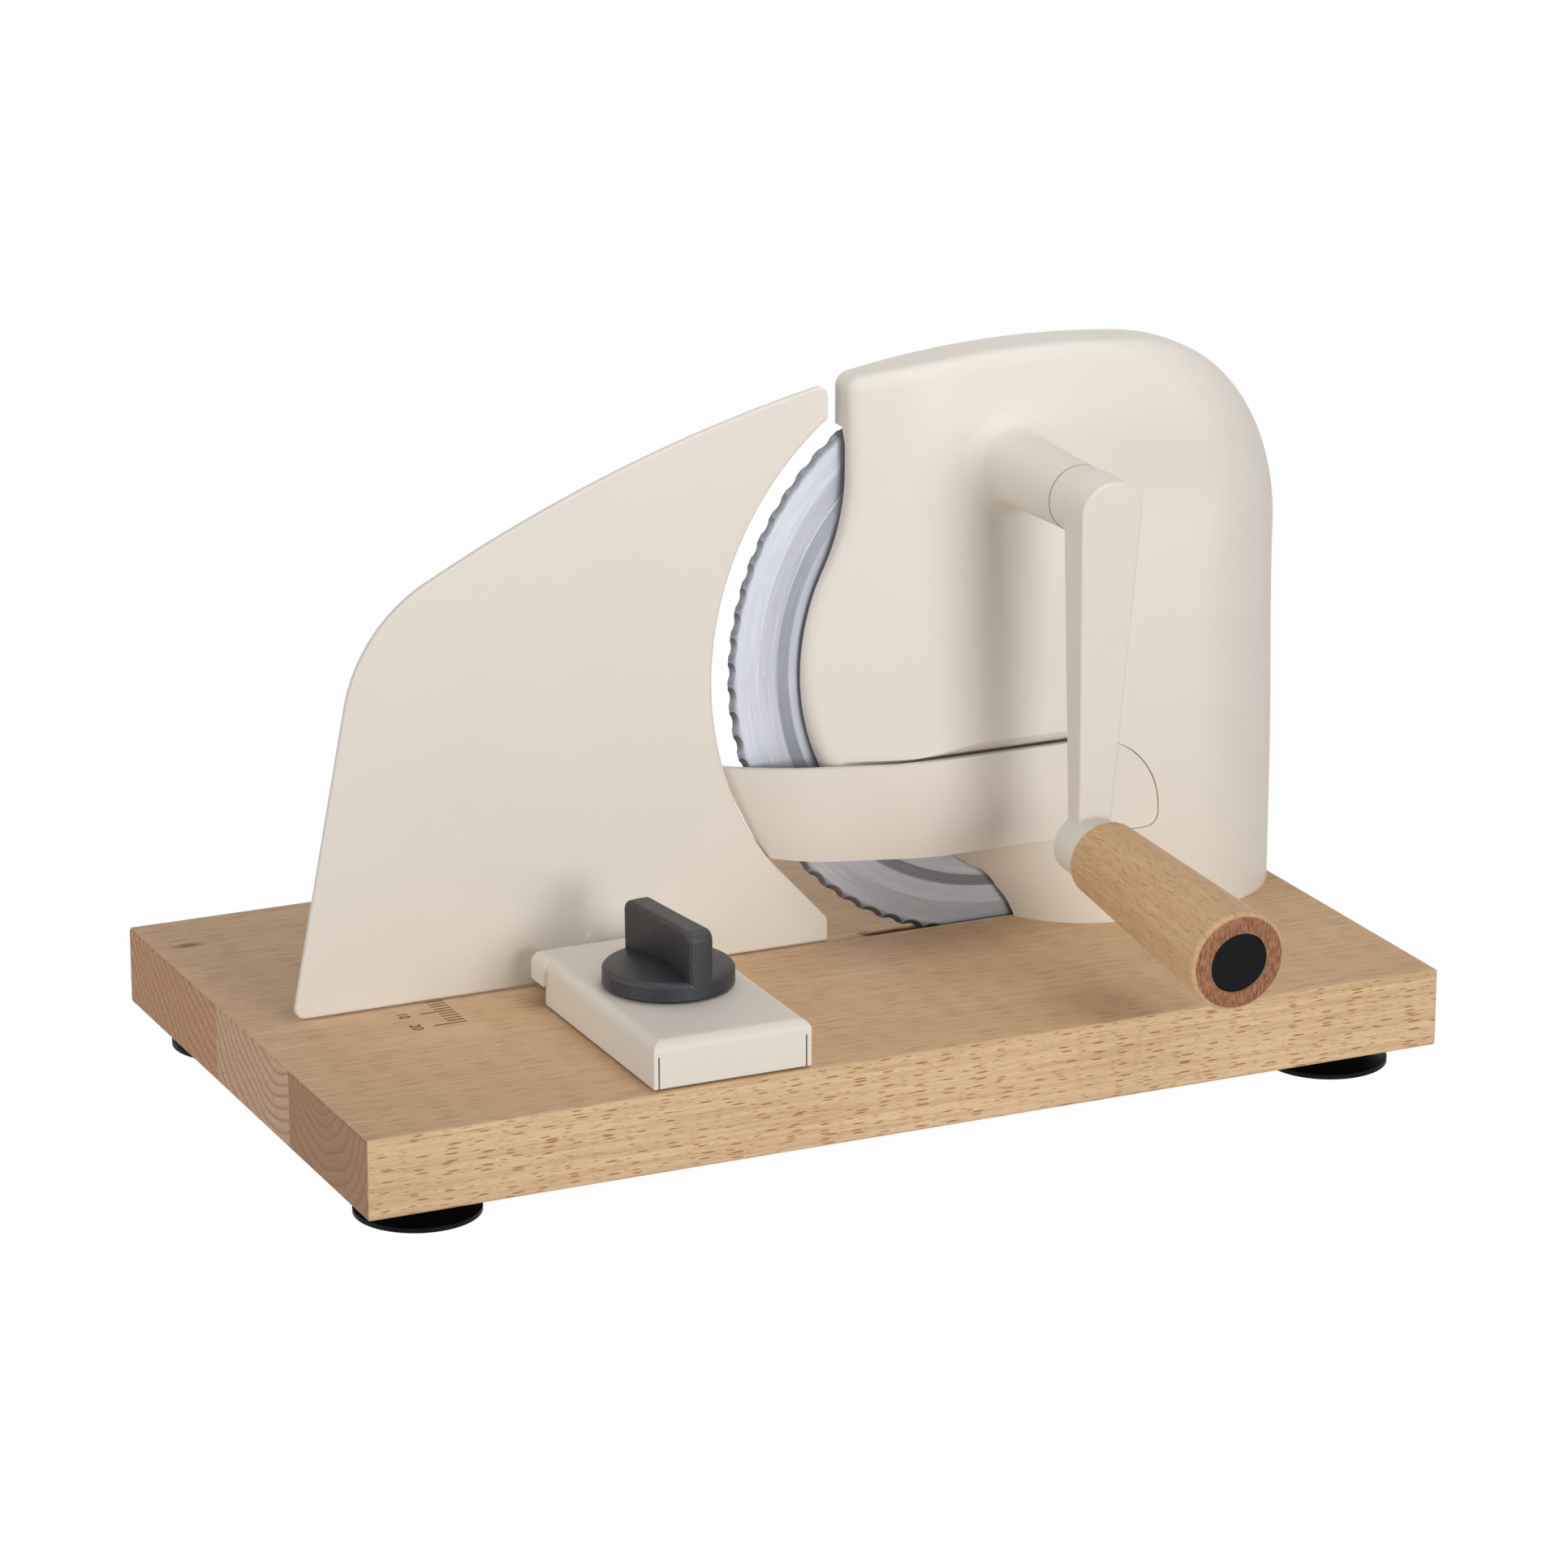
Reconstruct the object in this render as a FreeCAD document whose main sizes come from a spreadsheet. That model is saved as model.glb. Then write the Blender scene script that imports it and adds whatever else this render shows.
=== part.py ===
"""Hand cranked bread slicer: a parametric document of its separate pieces.

Working frame of the formulas: x runs along the board from its left end, y from its front
edge towards the back, z up from the board's top face.  Every piece is modelled in a frame
of its own and placed by `place`, which moves the working frame so that the origin lies
under the middle of the whole object, on the table.
"""
import FreeCAD
import Part
import Sketcher
import math
import os

V = FreeCAD.Vector
TURN = 360.0

# Driving sizes in millimetres and degrees: alias, value.
SIZES = [
    # board
    ("board_length", 320.0), ("board_depth", 188.0), ("board_thickness", 22.5),
    ("board_round", 1.0),
    # suction feet
    ("foot_radius", 17.3), ("foot_height", 8.0), ("foot_inset", 22.5), ("foot_rim", 2.6),
    ("foot_neck", 8.5), ("foot_hollow", 3.4),
    # blade
    ("blade_radius", 85.0), ("blade_thickness", 1.5), ("blade_teeth", 75.0),
    ("blade_dip", 4.5), ("blade_step", 0.8), ("step_inset", 17.4), ("blade_slope", 3.4),
    ("grind_width", 8.8), ("grind_depth", 0.45), ("cut_plane", 95.0),
    ("flute_radius", 4.6), ("flute_width", 6.6), ("flute_depth", 0.6), ("flute_rake", 2.0),
    ("slot_width", 4.0), ("slot_reach", 45.0), ("slot_depth", 8.0),
    # gears
    ("gear_module", 2.0), ("gear_teeth", 38.0), ("pinion_teeth", 19.0), ("gear_width", 5.5),
    ("crank_offset", 5.4), ("gear_play", 0.12),
    ("hub_radius", 14.0), ("lock_radius", 9.0), ("lock_head", 13.5), ("lock_head_height", 2.2),
    ("lock_seat", 2.5), ("coin_slot_width", 2.0), ("coin_slot_depth", 1.2), ("lock_round", 0.6),
    ("axle_radius", 5.0), ("shaft_radius", 5.0), ("running_gap", 0.05),
    ("bush_wall", 2.0), ("washer_thickness", 0.5), ("washer_play", 0.05),
    ("clip_thickness", 0.8), ("clip_radius", 7.5), ("stud_root", 8.0),
    # housing
    ("housing_inset", 1.0), ("housing_wall", 2.8), ("rim_gap", 0.8), ("rim_overhang", 2.5),
    ("rim_taper", 3.5), ("rim_step", 0.3),
    ("housing_depth", 23.8), ("housing_lean", 9.0), ("lean_start", 35.0),
    ("housing_corner", 63.0), ("housing_crown", 286.0), ("hook_inset", 13.7),
    ("housing_bulge", 3.3), ("plan_corner", 38.7), ("shoulder_round", 35.5),
    ("housing_edge_gap", 2.4), ("housing_edge", 2.5), ("edge_inset", 20.3),
    ("edge_angle", 27.0), ("toe_angle", 8.0), ("heel_radius", 19.0), ("side_slope", 18.8),
    ("side_lean", 2.9), ("side_blend", 60.0), ("housing_round", 4.5), ("corner_round", 4.0),
    ("cavity_gap", 1.5), ("boss_front", 38.8), ("boss_radius", 9.45), ("boss_root", 10.7),
    ("boss_round", 5.0), ("hollow_low", 31.6), ("hollow_low_turn", 31.5), ("hollow_low_end", 1.6),
    ("hollow_middle", 26.6), ("hollow_middle_turn", 46.0), ("hollow_middle_end", -11.4),
    ("hollow_high", 19.6), ("hollow_high_turn", 117.0), ("hollow_high_end", -44.4),
    ("hollow_level", 16.0),
    # guard strap
    ("strap_top", 55.3), ("strap_bottom", 27.3), ("strap_front", 74.5),
    ("strap_thickness", 2.0), ("strap_end", 40.0), ("strap_end_round", 22.5),
    ("strap_heel_round", 4.0), ("strap_gap", 0.6), ("strap_slope", 17.2),
    ("strap_bend", 40.0), ("strap_knee", 40.6), ("strap_tip", 65.1), ("strap_shift", 9.0),
    ("lip_bend", 66.5), ("lip_turn", 23.5), ("lip_low_bend", 33.0), ("lip_low_turn", 37.9),
    ("strap_seam", 0.15), ("strap_seat", 0.1),
    ("pocket_back", 84.0), ("pocket_end", 23.0), ("pocket_round", 5.3),
    ("pocket_rise", 4.0),
    # fence
    ("fence_thickness", 2.2), ("fence_gap", 5.8), ("fence_left", 14.5), ("fence_lift", 0.5),
    ("fence_plane", 0.4), ("horn_angle", 50.7), ("horn_reach", 55.4), ("horn_height", 9.9),
    ("heel_angle", 35.4), ("heel_reach", 55.2), ("heel_height", 7.2), ("shoulder_x", 31.3),
    ("shoulder_z", 86.0), ("brow_x", 54.0), ("brow_z", 118.4), ("shoulder_bow", 47.0),
    ("brow_bow", 449.0), ("fence_corner", 3.0), ("fence_round", 0.8),
    # slider
    ("slider_left", 82.0), ("slider_width", 45.8), ("slider_front", 2.0),
    ("slider_height", 13.6), ("slider_sheet", 1.2), ("slider_round", 3.0),
    ("slider_lift", 0.6), ("slider_travel", 20.0), ("slit_width", 0.5), ("slit_height", 9.5),
    ("neck_start", 73.0), ("neck_flare", 1.2), ("neck_lift", 6.2), ("neck_length", 8.5),
    ("tongue_inset", 4.5), ("tongue_low", 3.6), ("tongue_high", 9.9), ("tab_shift", 2.8),
    ("tab_width", 3.2), ("tab_height", 13.1), ("rail_gap", 0.2),
    ("rail_clear", 1.2), ("stud_y", 44.5), ("stud_radius", 3.0), ("stud_slot_gap", 0.4),
    ("stud_head", 8.0), ("stud_head_height", 3.0), ("rivet_radius", 1.4),
    ("rivet_head", 2.2), ("rivet_lift", 6.3),
    # knob
    ("knob_radius", 18.1), ("knob_rim", 5.6), ("knob_height", 19.4), ("wing_width", 7.4),
    ("wing_waist", 3.4), ("wing_sag", 0.05), ("wing_end_round", 3.0), ("wing_round", 1.2),
    ("knob_angle", 7.0), ("knob_gap", 0.3), ("insert_radius", 5.0), ("insert_depth", 6.0),
    # crank
    ("crank_lean", 4.6), ("crank_reach", 97.4), ("arm_front", 18.9), ("arm_radius", 9.2),
    ("arm_depth", 11.9), ("arm_tail_depth", 7.0), ("arm_tail_width", 9.2), ("hub_gap", 0.4),
    ("pin_boss_radius", 9.2), ("pin_boss_height", 5.4), ("arm_round", 0.8),
    ("shaft_inset", 6.0),
    # grip
    ("grip_length", 77.0), ("grip_root", 10.9), ("grip_end", 14.0), ("grip_round", 2.4),
    ("grip_gap", 0.8), ("grip_washer", 0.6),
    ("plug_radius", 8.5), ("plug_depth", 4.0), ("plug_recess", 0.8),
    ("bolt_radius", 3.5), ("bolt_thread", 3.0), ("bolt_head", 6.0), ("bolt_head_height", 3.0),
    ("bolt_grip", 8.0), ("socket_depth", 12.0),
    # screws
    ("screw_radius", 2.0), ("screw_head", 4.0), ("screw_head_height", 2.4),
    ("screw_length", 15.0), ("screw_sink", 8.0), ("rail_screw_length", 22.0),
    ("housing_screw_left", 18.0), ("housing_screw_right", 30.0), ("housing_screw_grip", 10.0),
    ("rail_screw_front", 12.0), ("rail_screw_back", 10.0),
    ("strap_screw_inset", 10.0), ("strap_screw_low", 7.0), ("strap_screw_high", 17.0),
    ("rivet_inset", 6.0),
]


class Dim:
    """A size that carries its number and the spreadsheet formula that gives it."""

    def __init__(self, value, text=None):
        self.value = float(value)
        self.text = text if text is not None else repr(float(value))

    def _mix(self, other, sign, result):
        return Dim(result, "(%s %s %s)" % (self.text, sign, other.text))

    def __add__(self, other):
        other = as_dim(other)
        return self._mix(other, "+", self.value + other.value)

    def __sub__(self, other):
        other = as_dim(other)
        return self._mix(other, "-", self.value - other.value)

    def __mul__(self, other):
        other = as_dim(other)
        return self._mix(other, "*", self.value * other.value)

    def __truediv__(self, other):
        other = as_dim(other)
        return self._mix(other, "/", self.value / other.value)

    def __radd__(self, other):
        return as_dim(other) + self

    def __rsub__(self, other):
        return as_dim(other) - self

    def __rmul__(self, other):
        return as_dim(other) * self

    def __neg__(self):
        return Dim(0.0) - self


def as_dim(number):
    return number if isinstance(number, Dim) else Dim(number)


def root(size):
    return Dim(math.sqrt(size.value), "sqrt(%s)" % size.text)


def sine(angle):
    angle = as_dim(angle)
    return Dim(math.sin(math.radians(angle.value)), "sin(%s)" % angle.text)


def cosine(angle):
    angle = as_dim(angle)
    return Dim(math.cos(math.radians(angle.value)), "cos(%s)" % angle.text)


def tangent(angle):
    angle = as_dim(angle)
    return Dim(math.tan(math.radians(angle.value)), "tan(%s)" % angle.text)


class Sheet:
    """The spreadsheet of driving sizes, read by attribute as Dim values."""

    def __init__(self, doc):
        self.cells = doc.addObject("Spreadsheet::Sheet", "Sizes")
        self.known = {}
        for row, (alias, value) in enumerate(SIZES, start=1):
            self.cells.set("A%d" % row, alias.replace("_", " "))
            self.cells.set("B%d" % row, "%g" % value)
            self.cells.setAlias("B%d" % row, alias)
        doc.recompute()
        for alias, _ in SIZES:
            self.known[alias] = Dim(self.cells.get(alias), "Sizes.%s" % alias)

    def __getattr__(self, alias):
        return self.known[alias]


doc = FreeCAD.newDocument("bread_slicer")
S = Sheet(doc)
ZERO = Dim(0.0)

# ---------------------------------------------------------------------------
# Places that several pieces share
# ---------------------------------------------------------------------------
board_top = S.foot_height + S.board_thickness
blade_x = (S.board_length - S.housing_inset - S.housing_wall - S.rim_gap - S.blade_radius)
blade_z = S.blade_radius - S.blade_dip
gear_distance = S.gear_module * (S.gear_teeth + S.pinion_teeth) / 2
crank_x = blade_x - S.crank_offset
crank_z = blade_z + root(gear_distance * gear_distance - S.crank_offset * S.crank_offset)

blade_far = S.cut_plane
blade_near = blade_far - S.blade_thickness
hub_face = blade_near - S.blade_step
housing_back = S.cut_plane + S.rim_overhang
housing_front = housing_back - S.housing_depth
edge_back = blade_near - S.housing_edge_gap
edge_front = edge_back - S.housing_edge
gear_back = hub_face - S.washer_thickness - S.clip_thickness * 2
gear_front = gear_back - S.gear_width
cavity_front = gear_front - S.washer_thickness - S.washer_play * 2
rim_inner = S.blade_radius + S.rim_gap
housing_right = S.board_length - S.housing_inset
housing_top = blade_z + rim_inner + S.housing_wall
edge_radius = S.blade_radius - S.edge_inset
housing_left = blade_x - edge_radius + S.hook_inset

fence_near = blade_far - S.fence_plane - S.fence_thickness
fence_far = fence_near + S.fence_thickness
cut_radius = S.blade_radius + S.fence_gap
strap_reach = cut_radius - S.strap_gap

slider_right = S.slider_left + S.slider_width
stud_x = S.slider_left + S.slider_width / 2
knob_z = S.slider_height + S.knob_gap

grip_y = S.arm_front + S.crank_reach * sine(S.crank_lean)
grip_z = crank_z - S.crank_reach * cosine(S.crank_lean)
root_shift = S.pin_boss_height + S.grip_gap
root_y = grip_y - root_shift * cosine(S.crank_lean)
root_z = grip_z - root_shift * sine(S.crank_lean)
grip_tip_y = (root_y - (S.grip_length - S.grip_round) * cosine(S.crank_lean)
              - (S.grip_end - S.grip_round) * sine(S.crank_lean) - S.grip_round)
middle_x = S.board_length / 2
middle_y = (S.board_depth + grip_tip_y) / 2

PIECES = []


# ---------------------------------------------------------------------------
# Small helpers
# ---------------------------------------------------------------------------
def bind(obj, prop, size):
    """Set a property's number and bind it to its spreadsheet formula."""
    size = as_dim(size)
    obj.setExpression(prop, size.text)


def place(obj, label, x=ZERO, y=ZERO, z=ZERO, axis=V(0, 0, 1), angle=0.0):
    """Name a finished piece and put its own frame at a point of the working frame."""
    obj.Label = label
    angle = as_dim(angle)
    start = V(as_dim(x).value, as_dim(y).value, as_dim(z).value)
    obj.Placement = FreeCAD.Placement(start, FreeCAD.Rotation(axis, angle.value))
    bind(obj, "Placement.Base.x", x - middle_x)
    bind(obj, "Placement.Base.y", y - middle_y)
    bind(obj, "Placement.Base.z", z + board_top)
    if angle.text.startswith("(") or "Sizes" in angle.text:
        bind(obj, "Placement.Rotation.Angle", angle)
    PIECES.append(obj)
    return obj


def seat(obj, x=ZERO, y=ZERO, z=ZERO, axis=V(0, 0, 1), angle=0.0):
    """Place a building block inside its piece's own frame."""
    x, y, z, angle = as_dim(x), as_dim(y), as_dim(z), as_dim(angle)
    obj.Placement = FreeCAD.Placement(V(x.value, y.value, z.value),
                                      FreeCAD.Rotation(axis, angle.value))
    bind(obj, "Placement.Base.x", x)
    bind(obj, "Placement.Base.y", y)
    bind(obj, "Placement.Base.z", z)
    if "Sizes" in angle.text:
        bind(obj, "Placement.Rotation.Angle", angle)
    return obj


def new_part(kind, name, **sizes):
    obj = doc.addObject(kind, name)
    for prop, size in sizes.items():
        bind(obj, prop, size)
    return obj


def block(name, x0, x1, y0, y1, z0, z1):
    """A box between two corners."""
    obj = new_part("Part::Box", name, Length=x1 - x0, Width=y1 - y0, Height=z1 - z0)
    return seat(obj, x0, y0, z0)


def rod(name, radius, length, x=ZERO, y=ZERO, z=ZERO, along="z"):
    """A cylinder that starts at a point and runs along +y or +z."""
    obj = new_part("Part::Cylinder", name, Radius=radius, Height=length)
    if along == "y":
        return seat(obj, x, y, z, V(1, 0, 0), -90.0)
    return seat(obj, x, y, z)


def cone(name, radius1, radius2, length, x=ZERO, y=ZERO, z=ZERO, along="z"):
    obj = new_part("Part::Cone", name, Radius1=radius1, Radius2=radius2, Height=length)
    if along == "y":
        return seat(obj, x, y, z, V(1, 0, 0), -90.0)
    return seat(obj, x, y, z)


def fuse(name, shapes):
    obj = doc.addObject("Part::MultiFuse", name)
    obj.Shapes = shapes
    return obj


def cut(name, base, tools):
    """Take one or more tools out of a base."""
    obj = doc.addObject("Part::Cut", name)
    obj.Base = base
    obj.Tool = tools[0] if len(tools) == 1 else fuse(name + "_tools", tools)
    return obj


def common(name, shapes):
    obj = doc.addObject("Part::MultiCommon", name)
    obj.Shapes = shapes
    return obj


def group(name, shapes):
    """Several separate solids as one piece."""
    obj = doc.addObject("Part::Compound", name)
    obj.Links = shapes
    return obj


def rounded(name, base, chosen, radius):
    """Round the edges of a Part object that `chosen` picks.

    `radius` is one size, or a function that gives an edge's start and end radius."""
    doc.recompute()
    edges = []
    for number, edge in enumerate(base.Shape.Edges, start=1):
        if chosen(edge):
            ends = radius(edge) if callable(radius) else [radius, radius]
            edges.append((number, as_dim(ends[0]).value, as_dim(ends[1]).value))
    obj = doc.addObject("Part::Fillet", name)
    obj.Base = base
    obj.Edges = edges
    return obj


def body(name):
    return doc.addObject("PartDesign::Body", name)


def sketch_on(owner, name, role, height=ZERO):
    """A sketch on one of a body's own origin planes, raised along the plane's normal."""
    height = as_dim(height)
    drawing = owner.newObject("Sketcher::SketchObject", name)
    plane = [f for f in owner.Origin.OriginFeatures if f.Role == role][0]
    drawing.AttachmentSupport = [(plane, "")]
    drawing.MapMode = "FlatFace"
    drawing.AttachmentOffset = FreeCAD.Placement(V(0, 0, height.value), FreeCAD.Rotation())
    bind(drawing, "AttachmentOffset.Base.z", height)
    return drawing


def free_sketch(name, upright=False, height=ZERO):
    """A sketch for Part features: flat at a height z, or upright at a depth y."""
    drawing = doc.addObject("Sketcher::SketchObject", name)
    if upright:
        return seat(drawing, ZERO, height, ZERO, V(1, 0, 0), 90.0)
    return seat(drawing, ZERO, ZERO, height)


def datum(drawing, kind, *where):
    """Add one dimension to a sketch and bind it to its formula."""
    size = as_dim(where[-1])
    number = drawing.addConstraint(Sketcher.Constraint(kind, *where[:-1], size.value))
    drawing.setExpression("Constraints[%d]" % number, size.text)


def arc_between(start, end, radius, centre_left):
    """The short arc between two points, its centre left or right of the way along."""
    chord = end - start
    middle = (start + end) * 0.5
    rise = math.sqrt(max(radius ** 2 - (chord.Length / 2) ** 2, 0.0))
    side = V(-chord.y, chord.x, 0).normalize() * (rise if centre_left else -rise)
    centre = middle + side
    first, last = (start, end) if centre_left else (end, start)
    a0 = math.atan2(first.y - centre.y, first.x - centre.x)
    a1 = math.atan2(last.y - centre.y, last.x - centre.x)
    circle = Part.Circle(centre, V(0, 0, 1), radius)
    return Part.ArcOfCircle(circle, a0, a1 if a1 > a0 else a1 + 2 * math.pi)


def outline(drawing, path):
    """Draw a closed outline.

    `path` lists (x, y) corners; (x, y, radius, side) is a corner that an arc leads to,
    with the arc's centre on the left ("L") or right ("R") of the way along.
    """
    ends = []
    points = [V(as_dim(p[0]).value, as_dim(p[1]).value, 0) for p in path]
    for i, corner in enumerate(path):
        start, end = points[i - 1], points[i]
        if len(corner) == 2:
            number = drawing.addGeometry(Part.LineSegment(start, end), False)
            ends.append((number, 1, 2))
            continue
        left = corner[3] == "L"
        arc = arc_between(start, end, as_dim(corner[2]).value, left)
        number = drawing.addGeometry(arc, False)
        ends.append((number, 1, 2) if left else (number, 2, 1))
    for i, (number, first, last) in enumerate(ends):
        after, after_first, _ = ends[(i + 1) % len(ends)]
        drawing.addConstraint(Sketcher.Constraint("Coincident", number, last, after, after_first))
        datum(drawing, "DistanceX", -1, 1, number, last, path[i][0])
        datum(drawing, "DistanceY", -1, 1, number, last, path[i][1])
        if len(path[i]) == 4:
            datum(drawing, "Radius", number, path[i][2])
    return drawing


def circle(drawing, x, y, radius):
    x, y, radius = as_dim(x), as_dim(y), as_dim(radius)
    number = drawing.addGeometry(Part.Circle(V(x.value, y.value, 0), V(0, 0, 1), radius.value),
                                 False)
    datum(drawing, "DistanceX", -1, 1, number, 3, x)
    datum(drawing, "DistanceY", -1, 1, number, 3, y)
    datum(drawing, "Radius", number, radius)
    return drawing


def pad(owner, drawing, length, reverse=False):
    feature = owner.newObject("PartDesign::Pad", drawing.Name + "_pad")
    feature.Profile = drawing
    feature.Reversed = reverse
    bind(feature, "Length", length)
    return feature


def pocket(owner, drawing, depth, reverse=False):
    feature = owner.newObject("PartDesign::Pocket", drawing.Name + "_pocket")
    feature.Profile = drawing
    feature.Reversed = reverse
    bind(feature, "Length", depth)
    return feature


def turned(owner, drawing, axis="V_Axis"):
    """Revolve a half profile a full turn about a sketch axis."""
    feature = owner.newObject("PartDesign::Revolution", drawing.Name + "_turned")
    feature.Profile = drawing
    feature.ReferenceAxis = (drawing, [axis])
    feature.Angle = TURN
    return feature


def body_round(owner, chosen, radius, kind="PartDesign::Fillet"):
    """Round or chamfer the edges of a body's last feature that `chosen` picks."""
    doc.recompute()
    last = owner.Tip
    names = ["Edge%d" % n for n, e in enumerate(last.Shape.Edges, start=1) if chosen(e)]
    feature = owner.newObject(kind, last.Name + "_edge")
    feature.Base = (last, names)
    bind(feature, "Radius" if kind.endswith("Fillet") else "Size", radius)
    return feature


def is_line_along(edge, direction):
    if edge.Curve.TypeId != "Part::GeomLine":
        return False
    way = edge.Vertexes[-1].Point - edge.Vertexes[0].Point
    return way.Length > 1e-6 and way.normalize().cross(direction).Length < 1e-4


def lathe_piece(name, profile):
    """A turned piece about its own z axis from (radius, height) corners."""
    owner = body(name)
    drawing = outline(sketch_on(owner, name + "_profile", "XZ_Plane"), profile)
    turned(owner, drawing)
    return owner


# ---------------------------------------------------------------------------
# Board and feet
# ---------------------------------------------------------------------------
def foot_spots():
    right = S.board_length - S.foot_inset
    back = S.board_depth - S.foot_inset
    return [("front_left", S.foot_inset, S.foot_inset), ("front_right", right, S.foot_inset),
            ("back_left", S.foot_inset, back), ("back_right", right, back)]


def housing_screw_spots():
    y = (housing_front + edge_back) / 2
    first = blade_x + S.housing_screw_left
    last = housing_right - S.housing_screw_right
    return [(first, y), ((first + last) / 2, y), (last, y)]


def rail_screw_spots():
    front = S.slider_front + S.slider_sheet
    return [(stud_x, front + S.rail_screw_front), (stud_x, S.stud_y + S.rail_screw_back)]


def base_board():
    owner = body("base_board_body")
    plan = outline(sketch_on(owner, "board_plan", "XY_Plane"),
                   [(ZERO, ZERO), (S.board_length, ZERO), (S.board_length, S.board_depth),
                    (ZERO, S.board_depth)])
    pad(owner, plan, S.board_thickness, reverse=True)
    body_round(owner, lambda e: True, S.board_round)
    # blade slot, cut by a large circular cutter
    cutter = (S.slot_reach * S.slot_reach + S.slot_depth * S.slot_depth) / (S.slot_depth * 2)
    slot_back = blade_near + (S.blade_thickness + S.slot_width) / 2
    slot = sketch_on(owner, "blade_slot", "XZ_Plane", -slot_back)
    outline(slot, [(blade_x - S.slot_reach, ZERO), (blade_x + S.slot_reach, ZERO, cutter, "L")])
    pocket(owner, slot, S.slot_width, reverse=True)
    # clearance hole for the clamp stud and the counterbore for its head
    drill(owner, "stud_hole", stud_x, S.stud_y, S.stud_radius, S.board_thickness)
    drill_up(owner, "stud_counterbore", stud_x, S.stud_y, S.stud_head + 0.5,
             S.stud_head_height + 1.0)
    # housing screws come up from below, their heads sunk in counterbores
    for number, (x, y) in enumerate(housing_screw_spots(), start=1):
        drill(owner, "housing_hole_%d" % number, x, y, S.screw_radius, S.board_thickness)
        drill_up(owner, "housing_bore_%d" % number, x, y, S.screw_head + 0.5, S.screw_sink)
    # pilot holes for the foot screws and the rail screws
    for tag, x, y in foot_spots():
        drill_up(owner, "foot_hole_" + tag, x, y, S.screw_radius,
                 S.screw_length + S.foot_hollow - S.screw_head_height - S.foot_height)
    for number, (x, y) in enumerate(rail_screw_spots(), start=1):
        drill(owner, "rail_hole_%d" % number, x, y, S.screw_radius,
              S.rail_screw_length - rail_height)
    return place(owner, "base_board")


def drill(owner, name, x, y, radius, depth):
    """A round hole down from the body's z = 0 plane."""
    pocket(owner, circle(sketch_on(owner, name, "XY_Plane"), x, y, radius), depth)


def drill_up(owner, name, x, y, radius, depth):
    """A round hole up from the board's underside."""
    drawing = circle(sketch_on(owner, name, "XY_Plane", -S.board_thickness), x, y, radius)
    pocket(owner, drawing, depth, reverse=True)


def suction_feet():
    """Flared suction cups: hollow below, a neck under the board, a screw through each."""
    inner = S.foot_radius - S.foot_rim
    flare = S.foot_radius - S.foot_neck
    for tag, x, y in foot_spots():
        name = "suction_foot_" + tag
        owner = lathe_piece(name + "_body", [
            (S.screw_radius, S.foot_height), (S.foot_neck, S.foot_height),
            (S.foot_neck, S.foot_height - 1.5),
            (S.foot_radius, S.foot_rim / 2, flare * 1.6, "L"),
            (S.foot_radius, ZERO), (inner, ZERO),
            (S.screw_head + 1.0, S.foot_hollow, inner * 2.4, "L"),
            (S.screw_radius, S.foot_hollow)])
        place(owner, name, x, y, -board_top)


def foot_screws():
    screws = []
    for tag, x, y in foot_spots():
        one = pan_screw("foot_screw_" + tag, S.screw_length)
        screws.append(seat(one, x, y, S.foot_hollow - S.screw_head_height - S.foot_height))
    place(group("foot_screws_group", screws), "foot_screws", z=-S.board_thickness)


def pan_screw(name, length):
    """A screw that stands on its head at z = 0 and points up."""
    top = rod(name + "_head", S.screw_head, S.screw_head_height)
    stem = rod(name + "_stem", S.screw_radius, length)
    return fuse(name, [top, stem])


# ---------------------------------------------------------------------------
# Housing
# ---------------------------------------------------------------------------
def extruded(name, drawing, way, length):
    obj = doc.addObject("Part::Extrusion", name)
    obj.Base = drawing
    obj.DirMode = "Custom"
    obj.Dir = way
    obj.Solid = True
    bind(obj, "LengthFwd", length)
    return obj


def housing_outline(depth):
    """Upright outline: crowned top, round shoulder, hooked left edge that follows a circle
    round the blade's axis, and a flat foot."""
    crown_x = blade_x + S.crank_offset
    bow, corner = S.housing_crown, S.housing_corner
    side = housing_right + S.housing_bulge
    arm = side - corner - crown_x
    reach = root((bow - corner) * (bow - corner) - arm * arm)
    left = crown_x - housing_left
    hook_x = blade_x - edge_radius * cosine(S.edge_angle)
    hook_z = blade_z + edge_radius * sine(S.edge_angle)
    sweep = (housing_left - hook_x) / (1 - cosine(S.edge_angle))
    toe_x = blade_x - edge_radius * sine(S.toe_angle)
    toe_z = blade_z - edge_radius * cosine(S.toe_angle)
    heel_x = toe_x + root(S.heel_radius * S.heel_radius - toe_z * toe_z / 4) / 2
    return outline(free_sketch("housing_outline", upright=True, height=depth), [
        (heel_x, ZERO, S.heel_radius, "R"), (side, ZERO),
        (side, housing_top - bow + reach),
        (crown_x + bow * arm / (bow - corner),
         housing_top - bow + bow * reach / (bow - corner), corner, "L"),
        (housing_left, housing_top - bow + root(bow * bow - left * left), bow, "L"),
        (housing_left, hook_z + sweep * sine(S.edge_angle)),
        (hook_x, hook_z, sweep, "R"), (toe_x, toe_z, edge_radius, "L"),
    ])


def is_sharp(shape, edge, limit=0.12):
    """True where an edge's two faces meet at an angle."""
    faces = [f for f in shape.Faces if any(edge.isSame(e) for e in f.Edges)]
    if len(faces) != 2:
        return False
    point = edge.valueAt((edge.FirstParameter + edge.LastParameter) / 2)
    normals = [f.normalAt(*f.Surface.parameter(point)) for f in faces]
    return normals[0].getAngle(normals[1]) > limit


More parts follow.
